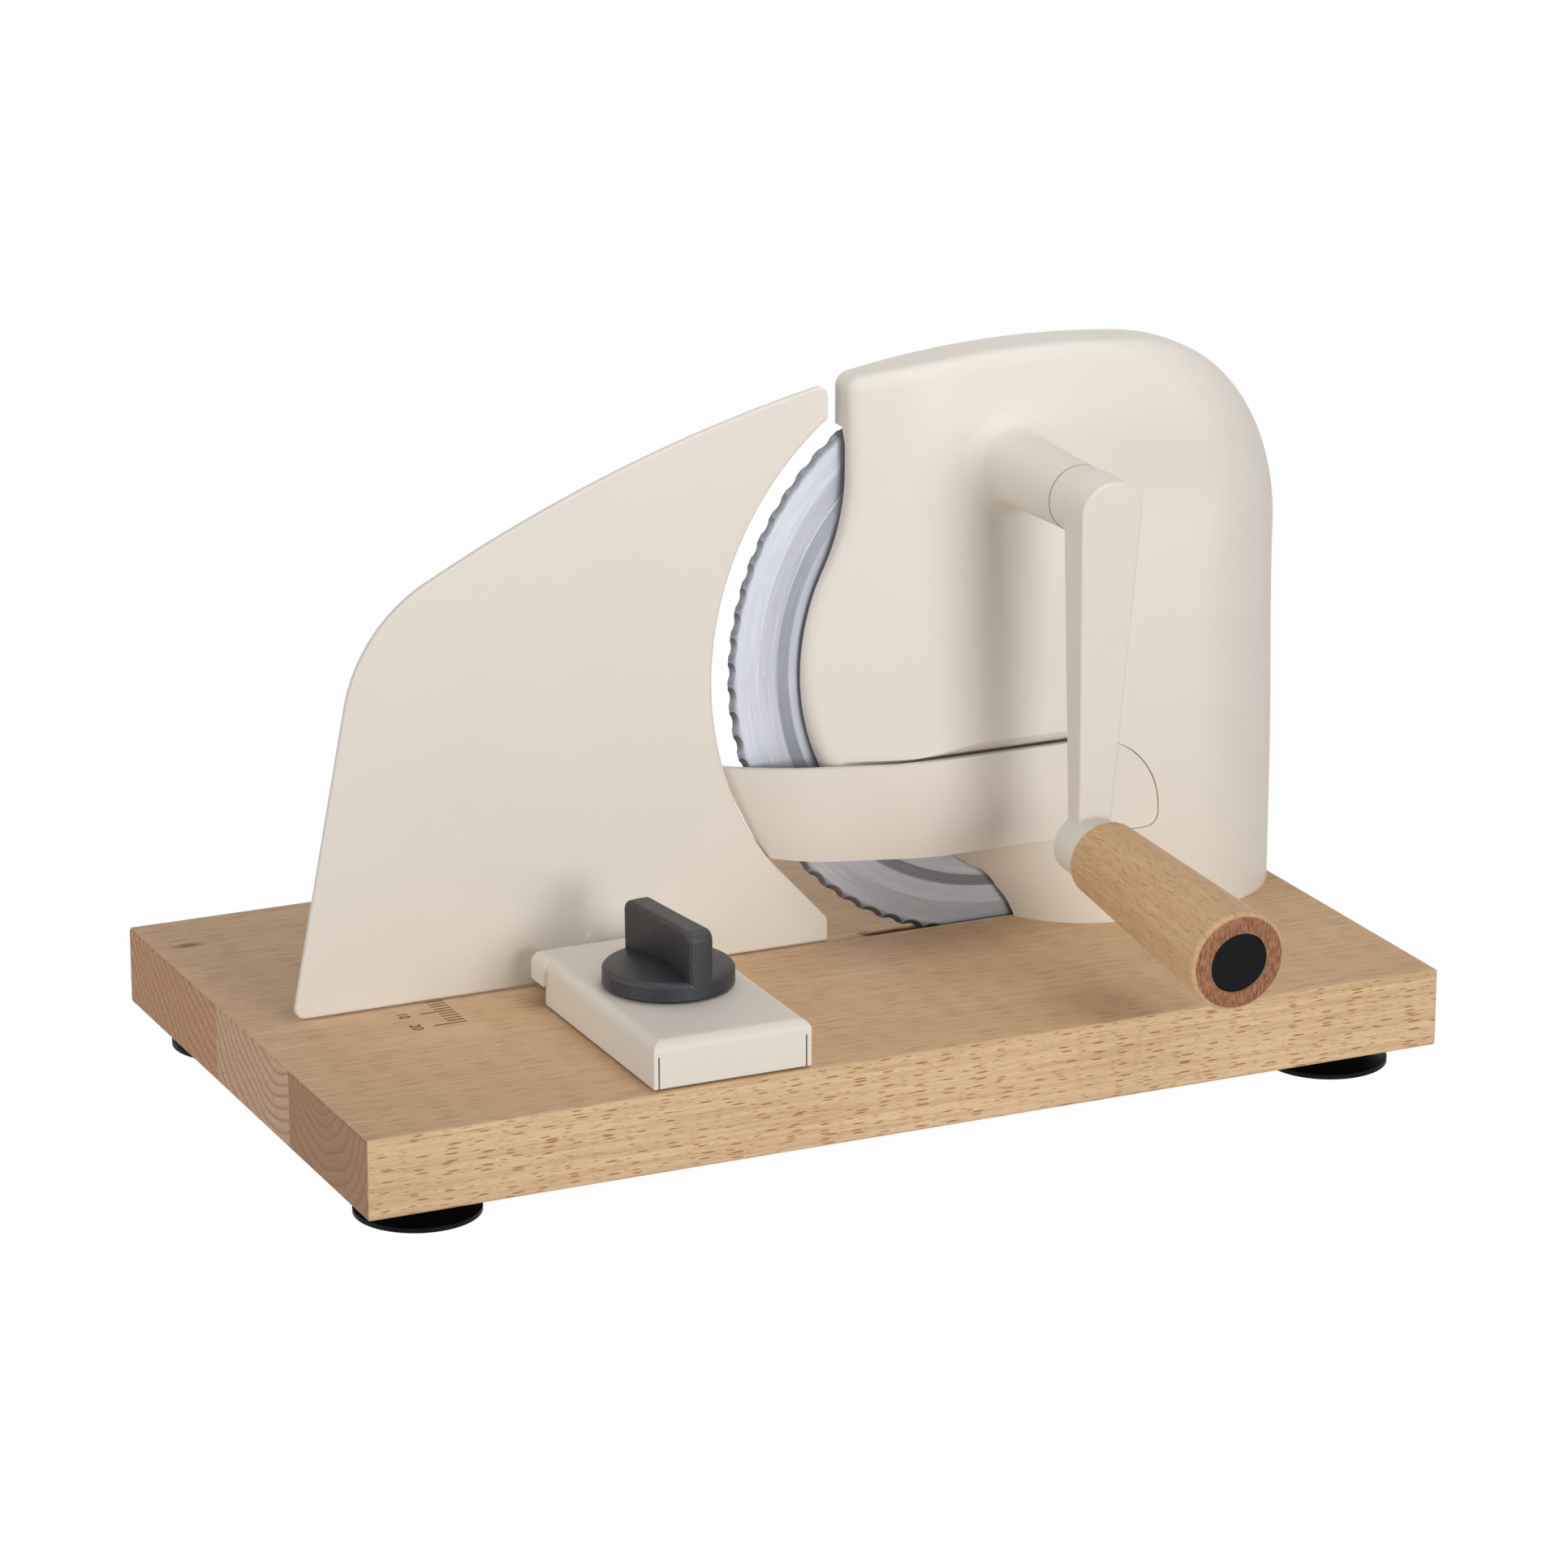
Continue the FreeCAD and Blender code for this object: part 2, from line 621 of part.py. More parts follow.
def housing_block():
    """The outer form: a leaning front, a sloping left side and rounded front edges.

    It is made deeper than the housing, because the wide rounding of its right side runs out
    behind the housing's back."""
    spare = S.plan_corner
    form = extruded("housing_form", housing_outline(housing_back + spare), V(0, -1, 0),
                    S.housing_depth + spare)
    front = housing_front
    top = housing_top + 5.0
    rise = top - S.lean_start
    bow = (rise * rise + S.housing_lean * S.housing_lean) / (S.housing_lean * 2)
    side = free_sketch("lean_profile")
    seat(side, housing_left - 20.0, ZERO, ZERO, V(1, 1, 1), 120.0)
    outline(side, [(front - 5.0, S.lean_start), (front, S.lean_start),
                   (front + S.housing_lean, top, bow, "R"), (front - 5.0, top)])
    lean = extruded("lean_tool", side, V(1, 0, 0), S.board_length)
    slope, tilt = tangent(S.side_slope), tangent(S.side_lean)
    start = ZERO - 10.0
    edge_x = blade_x - edge_radius
    edge_y = edge_front - (blade_z - start) * tilt
    run = S.board_depth / 2
    facet = extruded("facet_tool", outline(free_sketch("facet_plan", height=start), [
        (edge_x - run, edge_y + slope * run), (edge_x - run, edge_y - run),
        (edge_x + run, edge_y - run), (edge_x + run, edge_y - slope * run)]),
        V(0, tilt.value, 1), housing_top * 1.2)
    blank = cut("housing_blank", form, [lean, facet])
    back = (housing_back + spare).value - 0.5
    right = housing_right.value - 1.5

    def on_ridge(e):
        box = e.BoundBox
        return (is_sharp(blank.Shape, e) and box.ZMax - box.ZMin > blade_z.value
                and box.XMin > housing_left.value and box.XMax < blade_x.value)

    def at_corner(e):
        return is_line_along(e, V(0, 1, 0)) and e.BoundBox.ZMin > crank_z.value and is_sharp(
            eased.Shape, e)

    def in_front(e):
        box = e.BoundBox
        return box.YMax < back and box.ZMax > 1.0 and is_sharp(cornered.Shape, e)

    def at_vertex(v):
        if v.X < right:
            return S.housing_round
        return S.plan_corner if v.Z < blade_z.value else S.shoulder_round

    def radii(e):
        return [at_vertex(v) for v in e.Vertexes]

    eased = rounded("housing_eased", blank, on_ridge, S.side_blend)
    cornered = rounded("housing_corner_round", eased, at_corner, S.corner_round)
    edges = rounded("housing_edges", cornered, in_front, radii)
    behind = block("housing_behind", ZERO, S.board_length + S.housing_bulge, housing_back,
                   housing_back + spare + 1.0, ZERO - 1.0, housing_top + 5.0)
    return cut("housing_outer", edges, [behind])


def lower_hollow():
    """Everything in front of the hollow lower left corner, up to the pocket of the strap."""
    front = housing_front
    rows = [("low", ZERO - 1.0, S.hollow_low, S.hollow_low_turn, S.hollow_low_end),
            ("middle", S.hollow_level, S.hollow_middle, S.hollow_middle_turn,
             S.hollow_middle_end),
            ("high", S.strap_bottom + S.pocket_rise + 0.5, S.hollow_high, S.hollow_high_turn,
             S.hollow_high_end)]
    sections = []
    for tag, z, start, turn, end in rows:
        across = start - end
        deep = front + turn - root(turn * turn - across * across)
        sections.append(outline(free_sketch("hollow_" + tag, height=z), [
            (blade_x + start, front), (blade_x + end, deep, turn, "R"),
            (housing_left, deep), (housing_left, front - 5.0), (blade_x + start, front - 5.0)]))
    tool = doc.addObject("Part::Loft", "lower_hollow")
    tool.Sections = sections
    tool.Solid = True
    tool.Ruled = False
    return tool


def strap_section(name, z, shift, bend, turn, front, back):
    """Plan outline of the strap at a height, or of the space that holds it.

    From the left: a lip of radius `bend` that turns by `turn`, a straight slope, the main
    bend and a straight end.  `front` and `back` are distances from the strap's face."""
    slope, face = S.strap_slope, S.strap_front
    run = S.strap_bend * tangent(slope / 2)
    knee = blade_x - S.strap_knee + shift
    tip = blade_x - S.strap_tip + shift
    tip_y = face + (knee - tip) * tangent(slope)
    steep = slope + turn
    lip = tip - bend * (sine(steep) - sine(slope))
    lip_y = tip_y + bend * (cosine(slope) - cosine(steep))
    spine = [(lip, lip_y, steep), (tip, tip_y, slope),
             (knee - run * cosine(slope), face + run * sine(slope), slope),
             (knee + run, face, ZERO), (blade_x + S.strap_end + 10.0, face, ZERO)]
    near = [(x - front * sine(a), y - front * cosine(a)) for x, y, a in spine]
    far = [(x + back * sine(a), y + back * cosine(a)) for x, y, a in spine]
    return outline(free_sketch(name, height=z), [
        near[0], near[1] + (bend + front, "L"), near[2], near[3] + (S.strap_bend + front, "L"),
        near[4], far[4], far[3], far[2] + (S.strap_bend - back, "R"), far[1],
        far[0] + (bend - back, "R")])


def strap_form(name, front, back, margin):
    """The bent strip of the strap, trimmed to its outline seen from the front."""
    loft = doc.addObject("Part::Loft", name + "_strip")
    loft.Sections = [
        strap_section(name + "_low", S.strap_bottom - 2.0, S.strap_shift, S.lip_low_bend,
                      S.lip_low_turn, front, back),
        strap_section(name + "_high", S.strap_top + 2.0, ZERO, S.lip_bend, S.lip_turn, front,
                      back)]
    loft.Solid = True
    loft.Ruled = True
    reach = strap_reach + margin
    low, high = S.strap_bottom - margin, S.strap_top + margin
    end = blade_x + S.strap_end + margin
    turn, heel = S.strap_end_round, S.strap_heel_round
    drawing = outline(free_sketch(name + "_outline", upright=True, height=housing_back), [
        (blade_x - root(reach * reach - (blade_z - low) * (blade_z - low)), low, reach, "L"),
        (end - heel, low), (end, low + heel, heel, "L"), (end, high - turn),
        (end - turn, high, turn, "L"),
        (blade_x - root(reach * reach - (blade_z - high) * (blade_z - high)), high)])
    form = extruded(name + "_form", drawing, V(0, -1, 0), Dim(60.0))
    return common(name + "_blank", [loft, form])


def strap_screw_spots():
    x = blade_x + S.strap_end - S.strap_screw_inset
    return [(x, S.strap_bottom + S.strap_screw_low), (x, S.strap_bottom + S.strap_screw_high)]


def housing_shell():
    boss = cone("crank_boss", S.boss_radius, S.boss_root, cavity_front - S.boss_front,
                crank_x, S.boss_front, crank_z, along="y")
    solid = fuse("housing_bossed", [housing_block(), boss])

    def at_root(e):
        box = e.BoundBox
        return (abs(box.Center.x - crank_x.value) < 1.5 and abs(box.Center.z - crank_z.value) < 1.5
                and box.YMin > S.boss_front.value + 20.0 and box.XMax - box.XMin > 15.0)

    solid = rounded("housing_boss_root", solid, at_root, S.boss_round)
    rim_start = blade_near - S.rim_step
    teeth_out = S.gear_module + S.cavity_gap
    tools = [
        rod("blade_recess", rim_inner, housing_back - rim_start + 1.0, blade_x, rim_start,
            blade_z, "y"),
        cone("blade_recess_front", rim_inner - S.rim_taper, rim_inner, rim_start - edge_back,
             blade_x, edge_back, blade_z, "y"),
        rod("gear_cavity", S.gear_module * S.gear_teeth / 2 + teeth_out,
            housing_back - cavity_front, blade_x, cavity_front, blade_z, "y"),
        rod("pinion_cavity", S.gear_module * S.pinion_teeth / 2 + teeth_out,
            housing_back - cavity_front - S.housing_wall * 2, crank_x, cavity_front, crank_z,
            "y"),
        rod("bush_bore", S.shaft_radius + S.bush_wall, cavity_front - S.boss_front + 2.0,
            crank_x, S.boss_front - 1.0, crank_z, "y"),
        rod("axle_bore", S.axle_radius, S.stud_root + 1.0, blade_x,
            cavity_front - S.stud_root, blade_z, "y"),
        strap_form("strap_space", Dim(12.0), S.strap_thickness + S.strap_seat, S.strap_seam),
        strap_pocket(), lower_hollow(),
    ]
    for number, (x, y) in enumerate(housing_screw_spots(), start=1):
        tools.append(rod("housing_thread_%d" % number, S.screw_radius,
                         S.board_thickness - S.screw_sink, x, y, ZERO))
    inner = S.strap_front + S.strap_thickness
    for number, (x, z) in enumerate(strap_screw_spots(), start=1):
        tools.append(rod("strap_hole_%d" % number, S.screw_radius, edge_back - inner + 1.0,
                         x, inner - 0.5, z, "y"))
        tools.append(rod("strap_bore_%d" % number, S.screw_head + 0.5,
                         S.screw_head_height + 1.5, x, edge_back - S.screw_head_height - 0.5,
                         z, "y"))
    shell = cut("housing_shell_cut", solid, tools)
    return place(shell, "housing_shell")


def strap_pocket():
    """Hollow behind the strap, with a soft upper lip."""
    face = housing_front
    low, high = S.strap_bottom + S.pocket_rise, S.strap_top + 0.3
    turn = S.pocket_round
    side = free_sketch("strap_pocket_profile")
    seat(side, blade_x - S.blade_radius, ZERO, ZERO, V(1, 1, 1), 120.0)
    outline(side, [(face - 8.0, low), (S.pocket_back, low), (S.pocket_back, high),
                   (face + turn, high), (face, high + turn, turn, "R"),
                   (face - 8.0, high + turn)])
    return extruded("strap_pocket", side, V(1, 0, 0), S.blade_radius + S.pocket_end)


def housing_screws():
    screws = []
    for number, (x, y) in enumerate(housing_screw_spots(), start=1):
        one = pan_screw("housing_screw_%d" % number,
                        S.board_thickness - S.screw_sink + S.housing_screw_grip)
        screws.append(seat(one, x, y, S.screw_sink - S.screw_head_height))
    place(group("housing_screws_group", screws), "housing_screws", z=-S.board_thickness)


def guard_strap():
    form = strap_form("strap", ZERO, S.strap_thickness, ZERO)
    clear = rod("strap_blade_clearance", S.blade_radius + 1.0, Dim(10.0), blade_x,
                blade_near - 0.6, blade_z, "y")
    tools = [clear]
    for number, (x, z) in enumerate(strap_screw_spots(), start=1):
        tools.append(rod("strap_thread_%d" % number, S.screw_radius, Dim(4.0), x,
                         S.strap_front + 0.6, z, "y"))
    place(cut("strap_cut", form, tools), "guard_strap")


def guard_screws():
    screws = []
    length = edge_back - 0.5 - S.strap_front - 0.6
    for number, (x, z) in enumerate(strap_screw_spots(), start=1):
        one = pan_screw("guard_screw_%d" % number, length)
        screws.append(seat(one, x, ZERO, z, V(1, 0, 0), 90.0))
    place(group("guard_screws_group", screws), "guard_screws", y=edge_back - 0.5)


# ---------------------------------------------------------------------------
# Blade drive
# ---------------------------------------------------------------------------
def ring(name, label, inner, outer, length, x, y, z):
    """A plain ring or bush whose axis runs along +y from a point."""
    owner = lathe_piece(name, [(inner, ZERO), (outer, ZERO), (outer, length), (inner, length)])
    return place(owner, label, x, y, z, V(1, 0, 0), -90.0)


def bearings():
    ring("crank_bush_body", "crank_bush", S.shaft_radius + S.running_gap,
         S.shaft_radius + S.bush_wall, cavity_front - S.boss_front, crank_x, S.boss_front,
         crank_z)
    ring("gear_washer_body", "gear_washer", S.axle_radius + S.running_gap, S.lock_radius,
         S.washer_thickness, blade_x, cavity_front + S.washer_play, blade_z)
    ring("axle_clip_body", "axle_clip", S.axle_radius - 1.0, S.clip_radius, S.clip_thickness,
         blade_x, clip_y, blade_z)


def axle_stud():
    start = cavity_front - S.stud_root
    groove = S.axle_radius - 1.0
    low, high = clip_y - start, clip_y + S.clip_thickness - start
    tip = high + 0.5
    owner = lathe_piece("axle_stud_body", [
        (ZERO, ZERO), (S.axle_radius - 0.5, ZERO), (S.axle_radius, Dim(0.5)),
        (S.axle_radius, low), (groove, low), (groove, high), (S.axle_radius, high),
        (S.axle_radius, tip), (ZERO, tip)])
    place(owner, "axle_stud", blade_x, start, blade_z, V(1, 0, 0), -90.0)


def involute_wheel(teeth, module, width, thinning, turn):
    """A spur wheel about the y axis: involute flanks from the base circle outwards."""
    pressure = math.radians(20.0)
    pitch_r = module * teeth / 2.0
    base_r = pitch_r * math.cos(pressure)
    tip_r = pitch_r + module
    root_r = pitch_r - 1.25 * module
    half = math.pi / (2 * teeth) - thinning / pitch_r / 2
    inv = math.tan(pressure) - pressure

    def polar(radius, angle):
        return V(radius * math.cos(angle), 0, radius * math.sin(angle))

    def flank_angle(radius):
        roll = math.acos(min(base_r / radius, 1.0))
        return half + inv - (math.tan(roll) - roll)

    start_r = max(base_r, root_r)
    radii = [start_r + (tip_r - start_r) * step / 4.0 for step in range(5)]
    edges = []
    pitch = 2 * math.pi / teeth
    for tooth in range(teeth):
        middle = math.radians(turn) + tooth * pitch
        rising = [polar(r, middle - flank_angle(r)) for r in radii]
        falling = [polar(r, middle + flank_angle(r)) for r in reversed(radii)]
        foot = polar(root_r, middle - flank_angle(start_r))
        heel = polar(root_r, middle + flank_angle(start_r))
        following = polar(root_r, middle + pitch - flank_angle(start_r))
        for points in (rising, falling):
            curve = Part.BSplineCurve()
            curve.interpolate(points)
            edges.append(curve.toShape())
        edges.append(Part.Arc(rising[-1], polar(tip_r, middle), falling[0]).toShape())
        edges.append(Part.makeLine(foot, rising[0]))
        edges.append(Part.makeLine(falling[-1], heel))
        edges.append(Part.Arc(heel, polar(root_r, middle + pitch / 2), following).toShape())
    wire = Part.Wire(Part.__sortEdges__(edges))
    return Part.Face(wire).extrude(V(0, width, 0))


def gears():
    """The pair stands in mesh: a wheel tooth on the line of centres, a pinion gap facing it."""
    line = math.degrees(math.atan2((crank_z - blade_z).value, (crank_x - blade_x).value))
    width = S.gear_width.value
    play = S.gear_play.value
    module = S.gear_module.value
    small = int(S.pinion_teeth.value)
    pinion = doc.addObject("Part::Feature", "pinion_teeth")
    pinion.Shape = involute_wheel(small, module, width, play, line + 180.0 + 180.0 / small)
    pinion_bore = rod("pinion_bore", S.shaft_radius, S.gear_width + 2.0, ZERO, ZERO - 1.0,
                      ZERO, "y")
    place(cut("pinion_cut", pinion, [pinion_bore]), "crank_pinion", crank_x, gear_front,
          crank_z)
    wheel = doc.addObject("Part::Feature", "wheel_teeth")
    wheel.Shape = involute_wheel(int(S.gear_teeth.value), module, width, play, line)
    hub = rod("wheel_hub", S.hub_radius, hub_face - gear_front, along="y")
    recess_y = clip_y - 0.2 - gear_front
    bore = rod("wheel_bore", S.axle_radius + S.running_gap, S.gear_width * 2, ZERO,
               ZERO - 1.0, ZERO, "y")
    recess = rod("wheel_recess", S.lock_radius, S.gear_width * 2, ZERO, recess_y, ZERO, "y")
    whole = fuse("wheel_blank", [wheel, hub])
    place(cut("wheel_cut", whole, [bore, recess]), "blade_gear", blade_x, gear_front, blade_z)


def blade():
    """Stepped disc, ground thinner towards its rim, with hollow flutes all round.

    Each flute is one slanted cut, deeper on the near face; a polar pattern repeats it."""
    step, thick, rim = S.blade_step, S.blade_thickness, S.blade_radius
    inner = rim - S.step_inset
    outer = inner + S.blade_slope
    owner = lathe_piece("blade_body", [
        (S.lock_radius, -step), (inner, -step), (outer, ZERO), (rim - S.grind_width, ZERO),
        (rim, S.grind_depth), (rim, thick), (outer, thick), (inner, thick - step),
        (S.lock_radius, thick - step)])
    half = S.flute_width / 2
    bow = S.flute_radius
    side = rim - S.flute_depth + bow - root(bow * bow - half * half)
    top = side + S.flute_radius
    drawing = outline(sketch_on(owner, "flute", "XY_Plane", thick), [
        (-half, top), (-half, side), (half, side, bow, "L"), (half, top)])
    flute = pocket(owner, drawing, thick * 1.5)
    flute.UseCustomVector = True
    flute.AlongSketchNormal = True
    flute.Direction = V(0, -(S.flute_rake / thick).value, -1)
    for number, part in enumerate((ZERO, -(S.flute_rake / thick), ZERO - 1.0)):
        bind(flute, "Direction.%s" % "xyz"[number], part)
    flutes = owner.newObject("PartDesign::PolarPattern", "flutes")
    flutes.Originals = [flute]
    flutes.Axis = (drawing, ["N_Axis"])
    flutes.Angle = TURN
    bind(flutes, "Occurrences", S.blade_teeth)
    owner.Tip = flutes
    place(owner, "blade", blade_x, blade_near, blade_z, V(1, 0, 0), -90.0)


def blade_lock():
    """Large screw with a coin slot that holds the blade on the wheel's hub."""
    shank = rod("lock_shank", S.lock_radius, S.blade_thickness + S.lock_seat, along="y")
    top = rod("lock_head", S.lock_head, S.lock_head_height, ZERO,
              S.blade_thickness + S.lock_seat, ZERO, "y")
    high = S.blade_thickness + S.lock_seat + S.lock_head_height
    slot = block("lock_slot", ZERO - S.lock_head, S.lock_head, high - S.coin_slot_depth,
                 high + 1.0, ZERO - S.coin_slot_width / 2, S.coin_slot_width / 2)
    whole = rounded("lock_round", fuse("lock_blank", [shank, top]),
                    lambda e: e.BoundBox.YMin > high.value - 0.01, S.lock_round)
    start = hub_face - S.lock_seat
    place(cut("lock_cut", whole, [slot]), "blade_lock", blade_x, start, blade_z)


# ---------------------------------------------------------------------------
# Fence and slider
# ---------------------------------------------------------------------------
def fence_plate():
    owner = body("fence_body")
    low = S.fence_lift
    horn_x = -cut_radius * cosine(S.horn_angle)
    horn_z = blade_z + cut_radius * sine(S.horn_angle)
    heel_x = -cut_radius * cosine(S.heel_angle)
    heel_z = blade_z - cut_radius * sine(S.heel_angle)
    left = S.fence_left - blade_x
    drawing = outline(sketch_on(owner, "fence_outline", "XZ_Plane"), [
        (left, low), (-S.heel_reach, low), (-S.heel_reach, S.heel_height), (heel_x, heel_z),
        (horn_x, horn_z, cut_radius, "R"), (-S.horn_reach, horn_z + 1.6),
        (-S.horn_reach, horn_z + S.horn_height + 1.6),
        (S.brow_x - blade_x, S.brow_z, S.brow_bow, "L"),
        (S.shoulder_x - blade_x, S.shoulder_z, S.shoulder_bow, "L")])
    pad(owner, drawing, S.fence_thickness)
    points = [(left, low), (-S.heel_reach, S.heel_height),
              (-S.horn_reach, horn_z + S.horn_height + 1.6)]

    def at_corner(e):
        middle = e.BoundBox.Center
        return is_line_along(e, V(0, 1, 0)) and any(
            abs(middle.x - x.value) < 0.1 and abs(middle.z - z.value) < 0.1 for x, z in points)

    body_round(owner, at_corner, S.fence_corner)
    body_round(owner, lambda e: not is_line_along(e, V(0, 1, 0)), S.fence_round)
    for number, (x, z) in enumerate(rivet_spots(), start=1):
        hole = sketch_on(owner, "fence_hole_%d" % number, "XZ_Plane")
        circle(hole, x - blade_x, z, S.rivet_radius + S.running_gap)
        pocket(owner, hole, S.fence_thickness, reverse=True)
    place(owner, "fence_plate", blade_x, fence_far)


def rivet_spots():
    left = S.slider_left + S.tongue_inset
    return [(left + S.rivet_inset, S.rivet_lift), ((left + slider_right) / 2, S.rivet_lift),
            (slider_right - S.rivet_inset, S.rivet_lift)]


def slider_cover():
    """Folded sheet cover over the guide rail.

    A slightly wider neck ends its high part; a low tongue reaches back from it to the fence,
    where it is turned down into a riveted flange with a small tab standing on it."""
    owner = body("slider_body")
    width, high, sheet = S.slider_width, S.slider_height, S.slider_sheet
    reach = fence_near - S.slider_front
    neck, flare = S.neck_start, S.neck_flare
    shoulder = neck + S.neck_length
    inset, low, ledge = S.tongue_inset, S.tongue_low, S.tongue_high
    main = outline(sketch_on(owner, "slider_plan", "XY_Plane", S.slider_lift),
                   rectangle(ZERO, width, ZERO, neck + 1.0))
    pad(owner, main, high - S.slider_lift)
    rear = outline(sketch_on(owner, "neck_plan", "XY_Plane", S.neck_lift),
                   rectangle(-flare, width, neck, shoulder))
    pad(owner, rear, high - S.neck_lift)
    top = high.value

    def upper(e):
        box = e.BoundBox
        return box.ZMin > top - 0.01 and (box.YMax < shoulder.value - 0.01
                                          or is_line_along(e, V(0, 1, 0)))

    body_round(owner, upper, S.slider_round)
    tongue = outline(sketch_on(owner, "tongue_plan", "XY_Plane", low),
                     rectangle(inset, width, shoulder - sheet, reach))
    pad(owner, tongue, ledge - low)
    middle = width / 2
    tab_left = middle - S.tab_shift - S.tab_width / 2
    tab = outline(sketch_on(owner, "tab_face", "XZ_Plane", -reach), [
        (tab_left, low), (tab_left + S.tab_width, low),
        (tab_left + S.tab_width, S.tab_height - S.tab_width / 2),
        (tab_left, S.tab_height - S.tab_width / 2, S.tab_width / 2, "L")])
    pad(owner, tab, sheet)
    hollows = [("slider_inside", sheet, sheet, shoulder - sheet, high),
               ("neck_inside", sheet - flare, neck + sheet, shoulder - sheet, high),
               ("tongue_inside", inset + sheet, shoulder - sheet * 2, reach - sheet, ledge)]
    for name, left, front, back, roof in hollows:
        inside = outline(sketch_on(owner, name, "XY_Plane"),
                         rectangle(left, width - sheet, front, back))
        pocket(owner, inside, roof - sheet, reverse=True)
    stud = S.stud_y - S.slider_front
    half = S.stud_radius + S.stud_slot_gap
    slot = outline(sketch_on(owner, "clamp_slot", "XY_Plane"), [
        (middle - half, stud), (middle, stud - half, half, "L"), (middle + half, stud, half, "L"),
        (middle + half, stud + S.slider_travel),
        (middle, stud + S.slider_travel + half, half, "L"),
        (middle - half, stud + S.slider_travel, half, "L")])
    pocket(owner, slot, high + 1.0, reverse=True)
    for tag, x in (("left", sheet), ("right", width - sheet - S.slit_width)):
        slit = outline(sketch_on(owner, "slit_" + tag, "XY_Plane"),
                       rectangle(x, x + S.slit_width, ZERO - 1.0, sheet + 1.0))
        pocket(owner, slit, S.slit_height, reverse=True)
    for number, (x, z) in enumerate(rivet_spots(), start=1):
        hole = sketch_on(owner, "neck_hole_%d" % number, "XZ_Plane", -reach)
        circle(hole, x - S.slider_left, z, S.rivet_radius + S.running_gap)
        pocket(owner, hole, sheet, reverse=True)
    place(owner, "slider_cover", S.slider_left, S.slider_front)


def rectangle(x0, x1, y0, y1):
    return [(x0, y0), (x1, y0), (x1, y1), (x0, y1)]


def fence_rivets():
    rivets = []
    for number, (x, z) in enumerate(rivet_spots(), start=1):
        tag = "fence_rivet_%d" % number
        top = rod(tag + "_head", S.rivet_head, Dim(1.0), along="y")
        stem = rod(tag + "_stem", S.rivet_radius, S.slider_sheet + S.fence_thickness + 0.8,
                   along="y")
        rivets.append(seat(fuse(tag, [top, stem]), x - S.slider_left, ZERO, z))
    place(group("fence_rivets_group", rivets), "fence_rivets", S.slider_left,
          fence_near - S.slider_sheet - 1.0)


def guide_rail():
    """Block that the cover slides along, screwed to the board."""
    gap = S.rail_gap + S.slider_sheet
    width = S.slider_width - gap * 2
    start = S.slider_front + S.slider_sheet + S.rail_clear
    neck_back = S.slider_front + S.neck_start + S.neck_length - S.slider_sheet
    length = neck_back - S.slider_travel - S.rail_clear - start
    owner = body("rail_body")
    pad(owner, outline(sketch_on(owner, "rail_plan", "XY_Plane"),
                       rectangle(-width / 2, width / 2, ZERO, length)), rail_height)
    body_round(owner, lambda e: is_line_along(e, V(0, 1, 0)) and e.BoundBox.ZMin > 1.0, 0.8)
    spots = [("stud", stud_x, S.stud_y, S.stud_radius)]
    for number, (x, y) in enumerate(rail_screw_spots(), start=1):
        spots.append(("screw_%d" % number, x, y, S.screw_radius))
        spots.append(("sink_%d" % number, x, y, S.screw_head + 0.3))
    for tag, x, y, radius in spots:
        sunk = tag.startswith("sink")
        level = rail_height - S.screw_head_height - 0.4 if sunk else ZERO
        hole = circle(sketch_on(owner, "rail_" + tag, "XY_Plane", level), x - stud_x,
                      y - start, radius)
        pocket(owner, hole, rail_height, reverse=True)
    place(owner, "guide_rail", stud_x, start)


def rail_screws():
    screws = []
    for number, (x, y) in enumerate(rail_screw_spots(), start=1):
        one = pan_screw("rail_screw_%d" % number, S.rail_screw_length - 0.5)
        screws.append(seat(one, x - stud_x, y, ZERO, V(1, 0, 0), 180.0))
    place(group("rail_screws_group", screws), "rail_screws", stud_x, ZERO,
          rail_height - 0.4)


def clamp_stud():
    top = rod("stud_head_rod", S.stud_head, S.stud_head_height)
    length = S.board_thickness + knob_z + S.insert_depth - 1.2
    stem = rod("stud_stem", S.stud_radius, length)
    low = -S.board_thickness + 1.0
    place(fuse("stud_whole", [top, stem]), "clamp_stud", stud_x, S.stud_y, low)


# ---------------------------------------------------------------------------
# Knob
# ---------------------------------------------------------------------------
def wing_section(owner, name, height, sag):
    """Plan of the wing at a height: its ends on the rim, its sides hollow by `sag`."""
    rim, half = S.knob_radius, S.wing_width / 2
    end = root(rim * rim - half * half)
    bow = (end * end + sag * sag) / (sag * 2)
    return outline(sketch_on(owner, name, "XY_Plane", height), [
        (-half, -end, bow, "R"), (half, -end, rim, "L"), (half, end, bow, "R"),
        (-half, end, rim, "L")])


